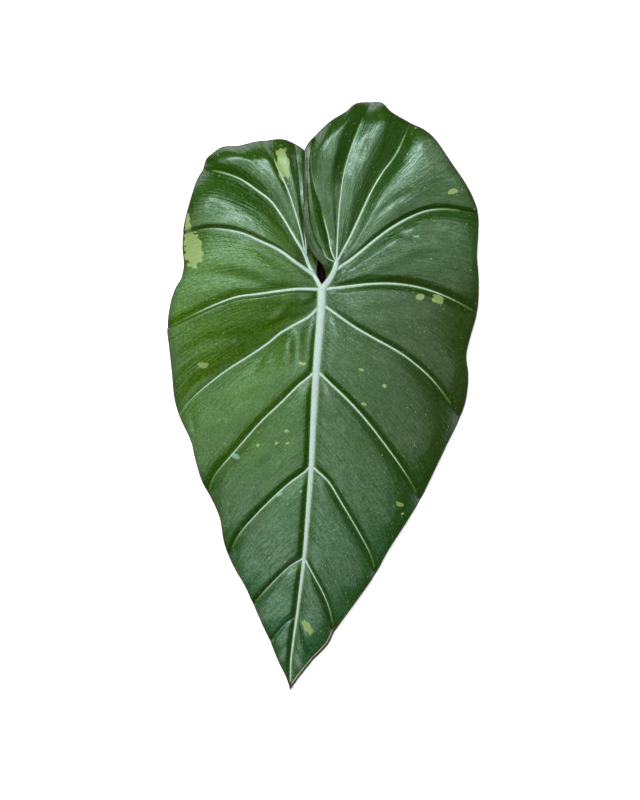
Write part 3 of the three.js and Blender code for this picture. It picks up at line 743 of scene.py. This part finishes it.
class Half:
    """One half of the blade: its trunk, its lines and the panels between them."""

    def __init__(self, side):
        self.side = side
        self.trunk = Path(TRUNKS[side]["path"])
        rise = TRUNKS[side]["height"]
        self.spine = {
            "midrib": (MIDRIB, midrib_height),
            "trunk": (self.trunk, lambda share: mix(JUNCTION_HEIGHT, rise, share)),
        }
        tip = ("midrib", 1, 0, None, None, (1, 0), (MIDRIB_HEIGHTS[-1], 0, 2, 0, 0), [], [])
        self.lines = [Line(self.spine, row) for row in (*LINES[side], tip)]

        self.widths = TRUNKS[side]["width"]
        rows = self.lines[:-1]
        margin = Path([p for line in rows for p in (line.path.points[-1], *line.edge)] + [TIP])
        knot = 0
        self.panels = []
        for number, line in enumerate(rows):
            after = knot + 1 + len(line.edge)
            edge = margin.between(knot, after)
            pair = self.lines[number : number + 2]
            self.panels.append(Panel(self, number, *pair, edge))
            knot = after

    def to_spine(self, points, taper):
        """Distance to the edge of the trunk or the midrib with the given taper, in mm."""
        away, share = MIDRIB.nearest(points)
        midrib = away - MIDRIB_HALF * (1 - taper * share)
        away, share = self.trunk.nearest(points)
        return np.minimum(midrib, away - mix(*self.widths, share) / 2)


class Sheet:
    """The whole blade's upper face: the panels' grids, welded where their points meet."""

    def __init__(self, settings):
        panels = [panel for side in LINES for panel in Half(side).panels]
        grids = [panel.grid(settings) for panel in panels]
        points = np.concatenate([grid["points"] for grid in grids])
        _, first, where = np.unique(
            np.round(points * WELD_STEPS).astype(np.int64), axis=0, return_index=True,
            return_inverse=True,
        )
        where = where.ravel()
        self.points = points[first]
        self.facts = {
            name: np.concatenate([grid["facts"][name] for grid in grids])[first]
            for name in grids[0]["facts"]
        }
        triangles, uv = [], []
        offset = 0
        for panel, grid in zip(panels, grids):
            rows, columns = grid["shape"]
            numbers = np.arange(rows * columns).reshape(rows, columns)
            a, b, c, d = numbers[:-1, :-1], numbers[1:, :-1], numbers[1:, 1:], numbers[:-1, 1:]
            left = panel.half.side == "left"
            order = ((a, b, c), (a, c, d)) if left else ((a, c, b), (a, d, c))
            for corners in order:
                local = np.stack([corner.ravel() for corner in corners], axis=-1)
                triangles.append(where[local + offset])
                uv.append(grid["uv"][local])
            offset += rows * columns
        triangles = np.concatenate(triangles)
        a, b, c = triangles.T
        sound = (a != b) & (b != c) & (c != a)
        self.triangles = triangles[sound]
        self.uv = np.concatenate(uv)[sound]


def to_metres(points):
    """Leaf points in mm from the junction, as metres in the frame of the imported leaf."""
    points = np.array(points, dtype=float)
    points[:, :2] += JUNCTION
    return points * MM


def link(name, data):
    """A new object in the scene, at the origin."""
    made = bpy.data.objects.new(name, data)
    bpy.context.scene.collection.objects.link(made)
    return made


def make_object(name, vertices, faces, material, smooth=True):
    """A new mesh object at the origin, with its place in its vertices."""
    mesh = bpy.data.meshes.new(name)
    mesh.from_pydata([tuple(v) for v in vertices], [], [tuple(f) for f in faces])
    mesh.materials.append(material)
    if smooth:
        mesh.shade_smooth()
    return link(name, mesh)


def add_fact(mesh, name, values):
    """Stores one number for each point of a mesh, for its material to read."""
    fact = mesh.attributes.new(name, "FLOAT", "POINT")
    fact.data.foreach_set("value", np.asarray(values, dtype=np.float32))


class Value:
    """A node's output. Python's operators on it add the Math nodes that they stand for."""

    def __init__(self, tree, socket):
        self.tree = tree
        self.socket = socket

    def other(self, name):
        """Another output of the same node."""
        return Value(self.tree, self.socket.node.outputs[name])

    def math(self, operation, *terms):
        """A Math node with this value first."""
        return self.tree.maths(operation, self, *terms)

    def __add__(self, term):
        return self.math("ADD", term)

    __radd__ = __add__

    def __sub__(self, term):
        return self.math("SUBTRACT", term)

    def __rsub__(self, term):
        return self.tree.maths("SUBTRACT", term, self)

    def __mul__(self, term):
        return self.math("MULTIPLY", term)

    __rmul__ = __mul__

    def least(self, term):
        """The smaller of the two."""
        return self.math("MINIMUM", term)

    def most(self, term):
        """The larger of the two."""
        return self.math("MAXIMUM", term)

    def rise(self, low, high, to=1.0):
        """0 up to low and the given value from high on, or falling where high is the lower."""
        settings = {"interpolation_type": "SMOOTHSTEP"}
        if low < high:
            inputs = {"Value": self, "From Min": low, "From Max": high, "To Min": 0.0, "To Max": to}
        else:
            inputs = {"Value": self, "From Min": high, "From Max": low, "To Min": to, "To Max": 0.0}
        return self.tree.add("ShaderNodeMapRange", settings, inputs)


class Tree:
    """A node tree that is built one call to a node."""

    def __init__(self, data):
        self.data = data

    def add(self, kind, settings=None, inputs=None, output=0):
        """Adds a node with its settings and then its inputs, and gives one of its outputs."""
        node = self.data.nodes.new(kind)
        for name, value in (settings or {}).items():
            setattr(node, name, value)
        for name, value in (inputs or {}).items():
            if isinstance(value, Value):
                self.data.links.new(value.socket, node.inputs[name])
            else:
                node.inputs[name].default_value = value
        return Value(self, node.outputs[output]) if len(node.outputs) else None

    def maths(self, operation, *terms):
        """A Math node."""
        return self.add("ShaderNodeMath", {"operation": operation}, dict(enumerate(terms)))

    def vector(self, operation, *terms, output=0):
        """A Vector Math node."""
        inputs = dict(enumerate(terms))
        return self.add("ShaderNodeVectorMath", {"operation": operation}, inputs, output)

    def split(self, vector, axis="X"):
        """One of a vector's three numbers."""
        return self.add("ShaderNodeSeparateXYZ", None, {0: vector}, axis)

    def blend(self, share, a, b):
        """A colour part of the way from a to b."""
        a, b = (colour if isinstance(colour, Value) else rgba(colour) for colour in (a, b))
        return self.add("ShaderNodeMix", {"data_type": "RGBA"}, {0: share, 6: a, 7: b}, 2)

    def layer(self, colour, layers):
        """A colour with others laid over it in turn, each with its share."""
        for share, over in layers:
            colour = self.blend(share, colour, over)
        return colour

    def fact(self, name):
        """A number stored on the mesh."""
        return self.add("ShaderNodeAttribute", {"attribute_name": name}, None, "Fac")

    def noise(self, where, scale, detail=3.0, roughness=0.5):
        """Plain noise from 0 to 1."""
        inputs = {"Vector": where, "Scale": scale, "Detail": detail, "Roughness": roughness}
        return self.add("ShaderNodeTexNoise", None, inputs, "Fac")


def rgba(colour):
    """A colour for a node's socket."""
    return (*colour, 1.0)


def scaled(colour, factor):
    """A lighter or darker colour."""
    return tuple(channel * factor for channel in colour)


def new_material(name):
    """An empty material and its tree."""
    material = bpy.data.materials.new(name)
    material.use_nodes = True
    material.node_tree.nodes.clear()
    return material, Tree(material.node_tree)


def finish_material(tree, inputs, bump=None, strength=0.3, distance=0.1):
    """Adds the Principled shader and, if given, a bump whose full height is a distance in mm."""
    if bump is not None:
        heights = {"Strength": strength, "Distance": distance * MM, "Height": bump}
        inputs = {**inputs, "Normal": tree.add("ShaderNodeBump", None, heights)}
    shader = tree.add("ShaderNodeBsdfPrincipled", None, inputs)
    tree.add("ShaderNodeOutputMaterial", None, {"Surface": shader})


def leaf_place(tree):
    """The place on the leaf in mm from the junction."""
    place = tree.add("ShaderNodeTexCoord", None, None, "Object")
    shift = (-JUNCTION[0] * MM, -JUNCTION[1] * MM, 0.0)
    return tree.vector("MULTIPLY", tree.vector("ADD", place, shift), (1 / MM,) * 3)


def grain(tree, across, along):
    """The leaf's own grid, in mm across and along the side veins, scaled by the given steps."""
    grid = tree.add("ShaderNodeUVMap", {"uv_map": "grain"})
    return tree.vector("MULTIPLY", grid, (across, along, 1.0))


def nearest_spot(tree, place, spots):
    """How far a place is from the middle of the nearest spot, 1 being its edge."""
    least = None
    for x0, y0, long, wide, turn in spots:
        centred = {
            "Vector": place, "Location": (x0, y0, 0), "Scale": (long, wide, 1000),
            "Rotation": (0, 0, math.radians(turn)),
        }
        spot = tree.add("ShaderNodeMapping", {"vector_type": "TEXTURE"}, centred)
        away = tree.vector("LENGTH", spot, output="Value")
        least = away if least is None else least.least(away)
    return least


def specks_of(tree, steps, rare, largest):
    """Small specks, one to a cell of the grain, in the cells whose draw is above the rare share."""
    cells = {"Vector": grain(tree, *steps), "Scale": 1.0}
    away = tree.add("ShaderNodeTexVoronoi", {"feature": "F1"}, cells, "Distance")
    draw = tree.split(away.other("Color"))
    return (away - draw.rise(rare, 1.0, largest)).rise(0.02, -0.03)


def upper_material(settings):
    """The glossy, variegated upper face."""
    material, tree = new_material("leaf upper face")
    place = leaf_place(tree)
    vein = tree.fact("to_vein")
    margin = tree.fact("to_margin")
    streaks = tree.noise(grain(tree, 1.1, 0.07), 1.0, 3.0, 0.6)
    fine = tree.noise(grain(tree, 3.2, 0.12), 1.0, 3.0, 0.6)
    cloud = tree.noise(place, 0.035, 2.0, 0.5)
    blotch = tree.noise(place, 0.22, 5.0, 0.68)
    grit = tree.noise(place, 0.9, 2.0, 0.6)

    # Greens: yellower left of the midrib and lighter there as painted light, bluer and lighter
    # towards the tip as painted sheen, and olive at the right's middle and darker there as painted
    # shade
    x = tree.split(place)
    y = x.other("Y")
    drift = cloud - 0.5
    lobe = (y + drift * 30).rise(15, 45, 0.85)
    low = (y + drift * 40).rise(-140, -40)
    left = (x + drift * 40).rise(8, -30) * (1 - lobe) * low
    tip = y.rise(-60, -170)
    olive_shade = (x + drift * 40).rise(10, 60, 0.85) * y.rise(25, -5) * y.rise(-115, -60)
    zones = ((left, LEFT_YELLOW_LIT_LEAF), (tip, TIP_SHEEN_LEAF), (olive_shade, OLIVE_SHADED_LEAF))
    leafy = tree.layer(settings.leaf_green, zones)
    deep = tree.layer(settings.deep_green, ((left, LEFT_YELLOW_LIT_DEEP), (olive_shade, OLIVE_SHADED_DEEP)))
    green = tree.blend((cloud * 0.7 + streaks * 0.5).rise(0.35, 0.75), deep, leafy)

    # Pale patches, whose edges step from cell to cell
    cells = {"Vector": grain(tree, 0.6, 0.36), "Scale": 1.0}
    cell = tree.add("ShaderNodeTexVoronoi", {"feature": "F1"}, cells, "Color")
    jag = (tree.split(cell) - 0.5) * 0.5
    patched = (nearest_spot(tree, place, PATCHES) + jag).rise(1.02, 0.94)
    pale = tree.blend(fine.rise(0.3, 0.8), settings.pale_patch, scaled(settings.pale_patch, 0.84))

    # Near the tip the right margin is painted as rolled: a tan line, with painted shade beyond it
    # standing in for the underside of the roll
    painted_roll = x.rise(-15.6, -14.8) * y.rise(-168, -174)

    # From the green to the very edge: streaks, painted shade in the dips and along the margin,
    # fringes, patches, mottle, specks, scars, and the painted roll near the tip
    green = tree.layer(green, (
        (fine.rise(0.55, 0.8, 0.35), FINE_STREAK),
        # Painted shade: deep green within 4.5 mm of a rib, where the sheet dips beside it
        (vein.rise(4.5, 0.8, 0.6), deep),
        # Painted shade: deep green within 4 mm of the margin, where the edge curls down
        (margin.rise(4.0, 0.6, 0.6), settings.deep_green),
        ((vein + (fine - 0.5) * 0.5).rise(0.75, 0.1, 0.85), FRINGE),
        (patched, pale),
        (grit.rise(0.62, 0.4, 0.5) * (1 - patched * 0.85), scaled(settings.deep_green, 0.55)),
        (specks_of(tree, (0.6, 0.3), 0.4, 0.16) * 0.75, YELLOW_DASH),
        (specks_of(tree, (0.7, 0.6), 0.6, 0.18) * 0.5, BLUISH_SPECK),
        ((nearest_spot(tree, place, SCARS) + jag).rise(1.1, 0.8, 0.75), SCAR),
        # Painted shade of the roll's underside
        (margin.rise(1.0, 0.75) * painted_roll, ROLL_PAINTED_SHADE),
        (margin.rise(0.65, 0.9) * margin.rise(1.35, 1.1) * painted_roll, ROLLED_TAN),
        (margin.rise(0.55, 0.15, 0.9), EDGE_BROWN),
    ))

    rough = 0.1 + grit * 0.16 + patched * 0.08
    bump = streaks * 1.7 + fine * 0.16 + grit * 0.4 + blotch * 0.35
    sheen = (blotch * 0.35 + streaks * 0.4 + grit * 0.25).rise(0.4, 0.6, 0.56)
    coat = sheen * (1 - left * 0.92) * (1 - patched * 0.8) * (1 - olive_shade * 0.6)
    inputs = {
        "Base Color": green, "Roughness": rough, "Coat Weight": coat, "Coat Roughness": 0.08,
        "IOR": 1.43, "Specular Tint": (0.62, 1.0, 0.70, 1.0),
    }
    finish_material(tree, inputs, bump, 0.6, 0.3)
    return material


def under_material(settings):
    """The paler, matt underside."""
    material, tree = new_material("leaf underside")
    place = leaf_place(tree)
    streaks = tree.noise(grain(tree, 0.9, 0.05), 1.0, 4.0, 0.6)
    cloud = tree.noise(place, 0.06, 3.0, 0.5)
    vein = tree.fact("to_vein")
    shade = cloud * 0.6 + streaks * 0.4
    dark, light = scaled(settings.underside, 0.8), scaled(settings.underside, 1.2)
    layers = ((shade.rise(0.3, 0.75), light), (vein.rise(1.6, 0.2, 0.5), UNDER_VEIN))
    green = tree.layer(dark, layers)
    inputs = {"Base Color": green, "Roughness": 0.5 + streaks * 0.1}
    finish_material(tree, inputs, streaks + tree.noise(place, 2.0, 2.0) * 0.2, 0.5, 0.25)
    return material


def vein_material(settings):
    """The pale ribs: mint on the upper face, greener below and towards their ends."""
    material, tree = new_material("leaf veins")
    place = leaf_place(tree)
    noise = tree.noise(place, 0.9, 4.0, 0.6)
    edge = tree.fact("section")
    end = tree.fact("along")
    pale = tree.layer(scaled(settings.pale, 0.86), (
        (noise.rise(0.35, 0.7), scaled(settings.pale, 1.06)),
        (edge.rise(0.45, 0.05, 0.75), RIB_FLANK),
        (edge.rise(-0.1, -0.4), RIB_KEEL),
        (end.rise(0.72, 1.0), RIB_END),
    ))
    inputs = {"Base Color": pale, "Roughness": 0.42, "Coat Weight": 0.15, "Coat Roughness": 0.3}
    finish_material(tree, inputs, noise, 0.4, 0.12)
    return material


def margin_material(settings):
    """The purple-brown line round the blade."""
    material, tree = new_material("leaf margin")
    place = leaf_place(tree)
    noise = tree.noise(place, 0.25, 4.0, 0.6)
    layers = ((noise.rise(0.4, 0.65), MARGIN_GREEN), (tree.fact("along"), TIP_POINT_BROWN))
    colour = tree.layer(settings.margin_colour, layers)
    inputs = {"Base Color": colour, "Roughness": 0.6, "Specular IOR Level": 0.2}
    finish_material(tree, inputs, noise, 0.3, 0.1)
    return material


def petiole_material(settings):
    """The maroon-brown, finely grooved skin of the petiole."""
    material, tree = new_material("petiole skin")
    place = leaf_place(tree)
    stretched = tree.vector("MULTIPLY", place, (1.6, 0.06, 1.6))
    grooves = tree.noise(stretched, 1.0, 4.0, 0.6)
    flecks = tree.noise(place, 0.8, 4.0, 0.7)
    # Painted shade: under the blade near the junction the skin turns near black, seen through the
    # hole at the sinus
    near = tree.split(place, "Y").rise(24, 14, 0.98)
    skin = tree.layer(scaled(settings.skin, 0.6), (
        (grooves.rise(0.3, 0.7), scaled(settings.skin, 1.4)),
        (flecks.rise(0.58, 0.72, 0.4), SKIN_FLECK),
        (near, SKIN_PAINTED_SHADE),
    ))
    inputs = {"Base Color": skin, "Roughness": 0.6 + near * 0.3, "Specular IOR Level": 0.04}
    finish_material(tree, inputs, grooves + flecks * 0.3, 0.5, 0.3)
    return material


def cut_material():
    """The pale, slightly mottled cut end of the petiole."""
    material, tree = new_material("petiole cut end")
    place = leaf_place(tree)
    cells = tree.noise(place, 2.2, 3.0, 0.6)
    colour = tree.blend(cells.rise(0.35, 0.7), CUT_DARK, CUT_LIGHT)
    finish_material(tree, {"Base Color": colour, "Roughness": 0.6}, cells, 0.4, 0.2)
    return material


def floor_material(settings):
    """The plain pale floor."""
    material, tree = new_material("floor")
    place = tree.add("ShaderNodeTexCoord", None, None, "Object")
    noise = tree.noise(place, 3.0)
    colour = tree.blend(noise, settings.floor, scaled(settings.floor, 0.995))
    inputs = {
        "Base Color": colour, "Roughness": 0.9, "Emission Color": rgba(WHITE),
        "Emission Strength": 0.35,
    }
    finish_material(tree, inputs)
    return material


def sweep_tree(name):
    """A Geometry Nodes tree that sweeps a half-flattened round section along each path of edges."""
    data = bpy.data.node_groups.new(name, "GeometryNodeTree")
    sockets = {
        "Geometry": "Geometry", "Sides": "Int", "Rise": "Float", "Keel": "Float",
        "Material": "Material",
    }
    for label, kind in sockets.items():
        data.interface.new_socket(label, in_out="INPUT", socket_type="NodeSocket" + kind)
    data.interface.new_socket("Geometry", in_out="OUTPUT", socket_type="NodeSocketGeometry")
    tree = Tree(data)
    given = tree.add("NodeGroupInput")

    # The section: a unit circle, flattened above by the rise and below by the keel
    sides = {"Resolution": given.other("Sides"), "Radius": 1.0}
    circle = tree.add("GeometryNodeCurvePrimitiveCircle", None, sides)
    parts = tree.split(tree.add("GeometryNodeInputPosition"), "Y")
    upward = parts * -1
    top = upward.most(0.0) * given.other("Rise")
    bottom = upward.least(0.0) * given.other("Keel")
    flat = (top + bottom) * -1
    place = tree.add("ShaderNodeCombineXYZ", None, {"X": parts.other("X"), "Y": flat, "Z": 0.0})
    kept = tree.add(
        "GeometryNodeStoreNamedAttribute", {"data_type": "FLOAT", "domain": "POINT"},
        {"Geometry": circle, "Name": "section", "Value": upward},
    )
    section = tree.add("GeometryNodeSetPosition", None, {"Geometry": kept, "Position": place})

    # The path: its points say how wide the rib is there
    path = tree.add("GeometryNodeMeshToCurve", None, {"Mesh": given})
    upright = tree.add("GeometryNodeSetCurveNormal", {"mode": "Z_UP"}, {"Curve": path})
    radius = tree.add(
        "GeometryNodeInputNamedAttribute", {"data_type": "FLOAT"}, {"Name": "half_width"},
        "Attribute",
    )
    rib = tree.add(
        "GeometryNodeCurveToMesh", None,
        {"Curve": upright, "Profile Curve": section, "Scale": radius, "Fill Caps": True},
    )
    smooth = tree.add("GeometryNodeSetShadeSmooth", None, {"Geometry": rib, "Shade Smooth": True})
    real = tree.add("GeometryNodeRealizeInstances", None, {"Geometry": smooth})
    paint = {"Geometry": real, "Material": given.other("Material")}
    painted = tree.add("GeometryNodeSetMaterial", None, paint)
    tree.add("NodeGroupOutput", None, {"Geometry": painted})
    return data


def sweep(name, routes, sizes, material):
    """Sweeps the section along routes of (points in metres, half widths, shares) as one mesh."""
    vertices, edges, widths, shares = [], [], [], []
    for points, half_widths, along in routes:
        start = len(vertices)
        vertices += [tuple(point) for point in points]
        edges += [(start + i, start + i + 1) for i in range(len(points) - 1)]
        widths += list(half_widths)
        shares += list(along)
    guide = bpy.data.meshes.new(name + " guide")
    guide.from_pydata(vertices, edges, [])
    add_fact(guide, "half_width", widths)
    add_fact(guide, "along", shares)
    made = link(name, guide)
    group = sweep_tree(name + " sweep")
    modifier = made.modifiers.new("Sweep", "NODES")
    modifier.node_group = group
    inputs = {
        item.name: item.identifier
        for item in group.interface.items_tree
        if item.item_type == "SOCKET" and item.in_out == "INPUT"
    }
    for label, value in {**sizes, "Material": material}.items():
        modifier[inputs[label]] = value
    evaluated = made.evaluated_get(bpy.context.evaluated_depsgraph_get())
    mesh = bpy.data.meshes.new_from_object(evaluated)
    made.modifiers.remove(modifier)
    made.data = mesh
    mesh.name = name
    bpy.data.meshes.remove(guide)

    # Nothing reaches below the table
    places = np.empty(len(mesh.vertices) * 3)
    mesh.vertices.foreach_get("co", places)
    places[2::3] = np.maximum(places[2::3], 0)
    mesh.vertices.foreach_set("co", places)
    mesh.update()
    return made


def place_piece(made, node):
    """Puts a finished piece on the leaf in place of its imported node."""
    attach(made, BODY)
    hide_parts(node)


class LEAF_OT_blade(bpy.types.Operator):
    """Make the blade's waved, quilted sheet"""

    bl_idname = "leaf.blade"
    bl_label = "Blade"

    def execute(self, context):
        settings = context.scene.leaf_blade
        sheet = Sheet(settings)
        thickness = settings.thickness / MM
        upper = sheet.points.copy()
        upper[:, 2] = np.maximum(upper[:, 2], thickness)
        lower = upper - (0, 0, thickness)
        count = len(upper)
        a, b, c = sheet.triangles.T
        below = np.stack((a + count, c + count, b + count), axis=-1)
        edges = np.concatenate((np.stack((a, b), -1), np.stack((b, c), -1), np.stack((c, a), -1)))
        taken = {tuple(edge) for edge in edges.tolist()}
        rim = [(p, q) for p, q in taken if (q, p) not in taken]
        walls = []
        for p, q in rim:
            walls += [(q, p, p + count), (q, p + count, q + count)]
        faces = np.concatenate((sheet.triangles, below, np.array(walls)))
        made = make_object(
            "leaf_blade_sheet", to_metres(np.concatenate((upper, lower))), faces.tolist(),
            upper_material(settings),
        )
        mesh = made.data
        mesh.materials.append(under_material(settings))
        second = np.zeros(len(faces), dtype=np.int32)
        second[len(sheet.triangles) : 2 * len(sheet.triangles)] = 1
        mesh.polygons.foreach_set("material_index", second)
        for name, values in sheet.facts.items():
            add_fact(mesh, name, np.concatenate((values, values)))
        grid = mesh.uv_layers.new(name="grain")
        turned = sheet.uv[:, [0, 2, 1]]
        rest = np.zeros((len(walls), 3, 2))
        grid.data.foreach_set("uv", np.concatenate((sheet.uv, turned, rest)).ravel())
        mesh.update()
        place_piece(made, "leaf_blade")
        return {"FINISHED"}


def vein_routes(midrib_width):
    """The veins' routes on the upper face: points, half widths and shares of the length."""
    routes = []

    def route(plane, z, half_widths, shares):
        routes.append((to_metres(np.column_stack((plane, z))), half_widths * MM, shares))

    share = np.linspace(0, MIDRIB_END, int(MIDRIB.length / VEIN_STEP))
    half = midrib_width / MM / 2 * (1 - MIDRIB_TAPER * share)
    route(MIDRIB.at(share), midrib_height(share), half, share * MIDRIB_GREENING)
    for side in map(Half, LINES):
        share = np.linspace(0, 1, int(side.trunk.length / VEIN_STEP) + 2)
        plane = side.trunk.at(share)
        z = side.panels[0].height(np.zeros(len(share)), share, plane, 0.0)
        route(plane, z, mix(*side.widths, share) / 2, share * TRUNK_GREENING)
        for panel, line in zip(side.panels, side.lines):
            if not line.width:
                continue
            steps = int(line.fade * line.path.length / VEIN_STEP)
            share = np.linspace(0, line.fade, max(8, steps))
            plane = line.path.at(share)
            z = panel.height(share, np.zeros(len(share)), plane, 0.0)
            flare = 1 + ROOT_FLARE * np.exp(-share * line.path.length / FLARE_REACH)
            thin = np.clip(THIN_SPEED * (1 - share / line.fade), THIN_LEAST, 1) ** THIN_POWER
            route(plane, z, line.half_width(share) * flare * thin, share / line.fade)
    return routes


class LEAF_OT_veins(bpy.types.Operator):
    """Sweep the pale veins and the ribs below them along their paths"""

    bl_idname = "leaf.veins"
    bl_label = "Veins"

    def execute(self, context):
        settings = context.scene.leaf_veins
        sizes = {"Sides": VEIN_SIDES, "Rise": settings.rise, "Keel": settings.keel}
        routes = vein_routes(settings.midrib)
        made = sweep("leaf_veins", routes, sizes, vein_material(settings))
        place_piece(made, "leaf_blade")
        return {"FINISHED"}


class LEAF_OT_margin(bpy.types.Operator):
    """Sweep the thin coloured margin round the blade"""

    bl_idname = "leaf.margin"
    bl_label = "Margin"

    def execute(self, context):
        settings = context.scene.leaf_veins
        blade = context.scene.leaf_blade
        quilt = blade.quilt / MM
        thickness = blade.thickness / MM
        radius = settings.margin / 2
        routes = []
        for half in map(Half, LINES):
            sinus = half.panels[0]
            share = np.linspace(0, 1, int(sinus.first.path.length / MARGIN_STEP))
            points = [sinus.surface(share, np.zeros(len(share)), quilt)[0]]
            for panel in half.panels:
                share = np.linspace(0, 1, max(3, int(panel.edge.length / MARGIN_STEP)))[1:]
                points.append(panel.surface(np.ones(len(share)), share, quilt)[0])
            points = np.concatenate(points)
            points[:, 2] = np.maximum(points[:, 2], thickness) - thickness / 2
            points[:, 2] = np.maximum(points[:, 2], radius / MM)
            along = np.zeros(len(points))
            routes.append((to_metres(points), np.full(len(points), radius), along))
        point = to_metres([(*spot, TIP_POINT_HEIGHT) for spot in TIP_POINT])
        routes.append((point, np.array(TIP_POINT_RADII) * MM, np.ones(len(TIP_POINT))))
        sizes = {"Sides": MARGIN_SIDES, "Rise": 1.0, "Keel": MARGIN_KEEL}
        made = sweep("leaf_margin", routes, sizes, margin_material(settings))
        place_piece(made, "leaf_blade")
        return {"FINISHED"}


class LEAF_OT_petiole(bpy.types.Operator):
    """Sweep the petiole from the blade to its cut end"""

    bl_idname = "leaf.petiole"
    bl_label = "Petiole"

    def execute(self, context):
        settings = context.scene.leaf_petiole
        share = np.linspace(0, 1, PETIOLE_POINTS)
        knots = np.linspace(0, 1, len(PETIOLE_RADII))
        radii = np.interp(share, knots, PETIOLE_RADII)
        rounding = np.clip(share / CUT_STRETCH, CUT_LEAST, 1)
        route = (to_metres(Path(PETIOLE_PATH).at(share)), radii * rounding * MM, share)
        sizes = {"Sides": settings.sides, "Rise": 1.0, "Keel": 1.0}
        made = sweep("petiole_stalk", [route], sizes, petiole_material(settings))
        made.data.materials.append(cut_material())
        for face in made.data.polygons:
            if len(face.vertices) > 4 and face.normal.y > 0.5:
                face.material_index = 1
                face.use_smooth = False
        place_piece(made, "petiole")
        return {"FINISHED"}


class LEAF_OT_stage(bpy.types.Operator):
    """Set the floor, the softboxes and the camera over the leaf"""

    bl_idname = "leaf.stage"
    bl_label = "Stage"

    def execute(self, context):
        settings = context.scene.leaf_stage
        sides = ((-1, -1), (1, -1), (1, 1), (-1, 1))
        corners = [(x * FLOOR_HALF, y * FLOOR_HALF, 0) for x, y in sides]
        floor = make_object("floor", corners, [(0, 1, 2, 3)], floor_material(settings), False)

        world = bpy.data.worlds.new("studio")
        world.use_nodes = True
        background = world.node_tree.nodes["Background"]
        background.inputs["Color"].default_value = rgba(ROOM)
        background.inputs["Strength"].default_value = ROOM_STRENGTH
        context.scene.world = world
        context.scene.view_settings.view_transform = "Standard"

        for name, place, size, share, colour in SOFTBOXES:
            light = bpy.data.lights.new(name, "AREA")
            light.shape = "RECTANGLE"
            light.size, light.size_y = size
            light.energy = settings.softbox * share
            light.color = colour
            link(name, light).location = place

        lens = bpy.data.cameras.new("camera")
        lens.lens = settings.lens
        lens.sensor_width = SENSOR
        camera = link("camera", lens)
        camera.location = (*CAMERA_PLACE, LEAF_PLANE + PHOTO_SPAN * settings.lens / SENSOR)
        context.scene.camera = camera
        return {"FINISHED"}


class LEAF_PT_panel(bpy.types.Panel):
    """Lists the leaf's settings and the steps that make it"""

    bl_idname = "LEAF_PT_panel"
    bl_label = "Philodendron leaf"
    bl_space_type = "VIEW_3D"
    bl_region_type = "UI"
    bl_category = "Leaf"

    def draw(self, context):
        for group, steps in STEPS.items():
            box = self.layout.box()
            for step in steps:
                box.operator(step.bl_idname)
            settings = getattr(context.scene, group)
            for name in settings.__annotations__:
                box.prop(settings, name)


GROUPS = {
    "leaf_blade": LeafBladeSettings,
    "leaf_veins": LeafVeinSettings,
    "leaf_petiole": LeafPetioleSettings,
    "leaf_stage": LeafStageSettings,
}
STEPS = {
    "leaf_blade": [LEAF_OT_blade],
    "leaf_veins": [LEAF_OT_veins, LEAF_OT_margin],
    "leaf_petiole": [LEAF_OT_petiole],
    "leaf_stage": [LEAF_OT_stage],
}
CLASSES = [*GROUPS.values(), *(step for steps in STEPS.values() for step in steps), LEAF_PT_panel]


def register():
    """Registers the settings, steps and panel."""
    for item in CLASSES:
        bpy.utils.register_class(item)
    for name, group in GROUPS.items():
        setattr(bpy.types.Scene, name, PointerProperty(type=group))


def unregister():
    """Takes them away again."""
    for name in GROUPS:
        delattr(bpy.types.Scene, name)
    for item in reversed(CLASSES):
        bpy.utils.unregister_class(item)


def main():
    """Makes the whole leaf and its stage."""
    register()
    bpy.ops.leaf.blade()
    bpy.ops.leaf.veins()
    bpy.ops.leaf.margin()
    bpy.ops.leaf.petiole()
    bpy.ops.leaf.stage()


if __name__ == "__main__":
    main()
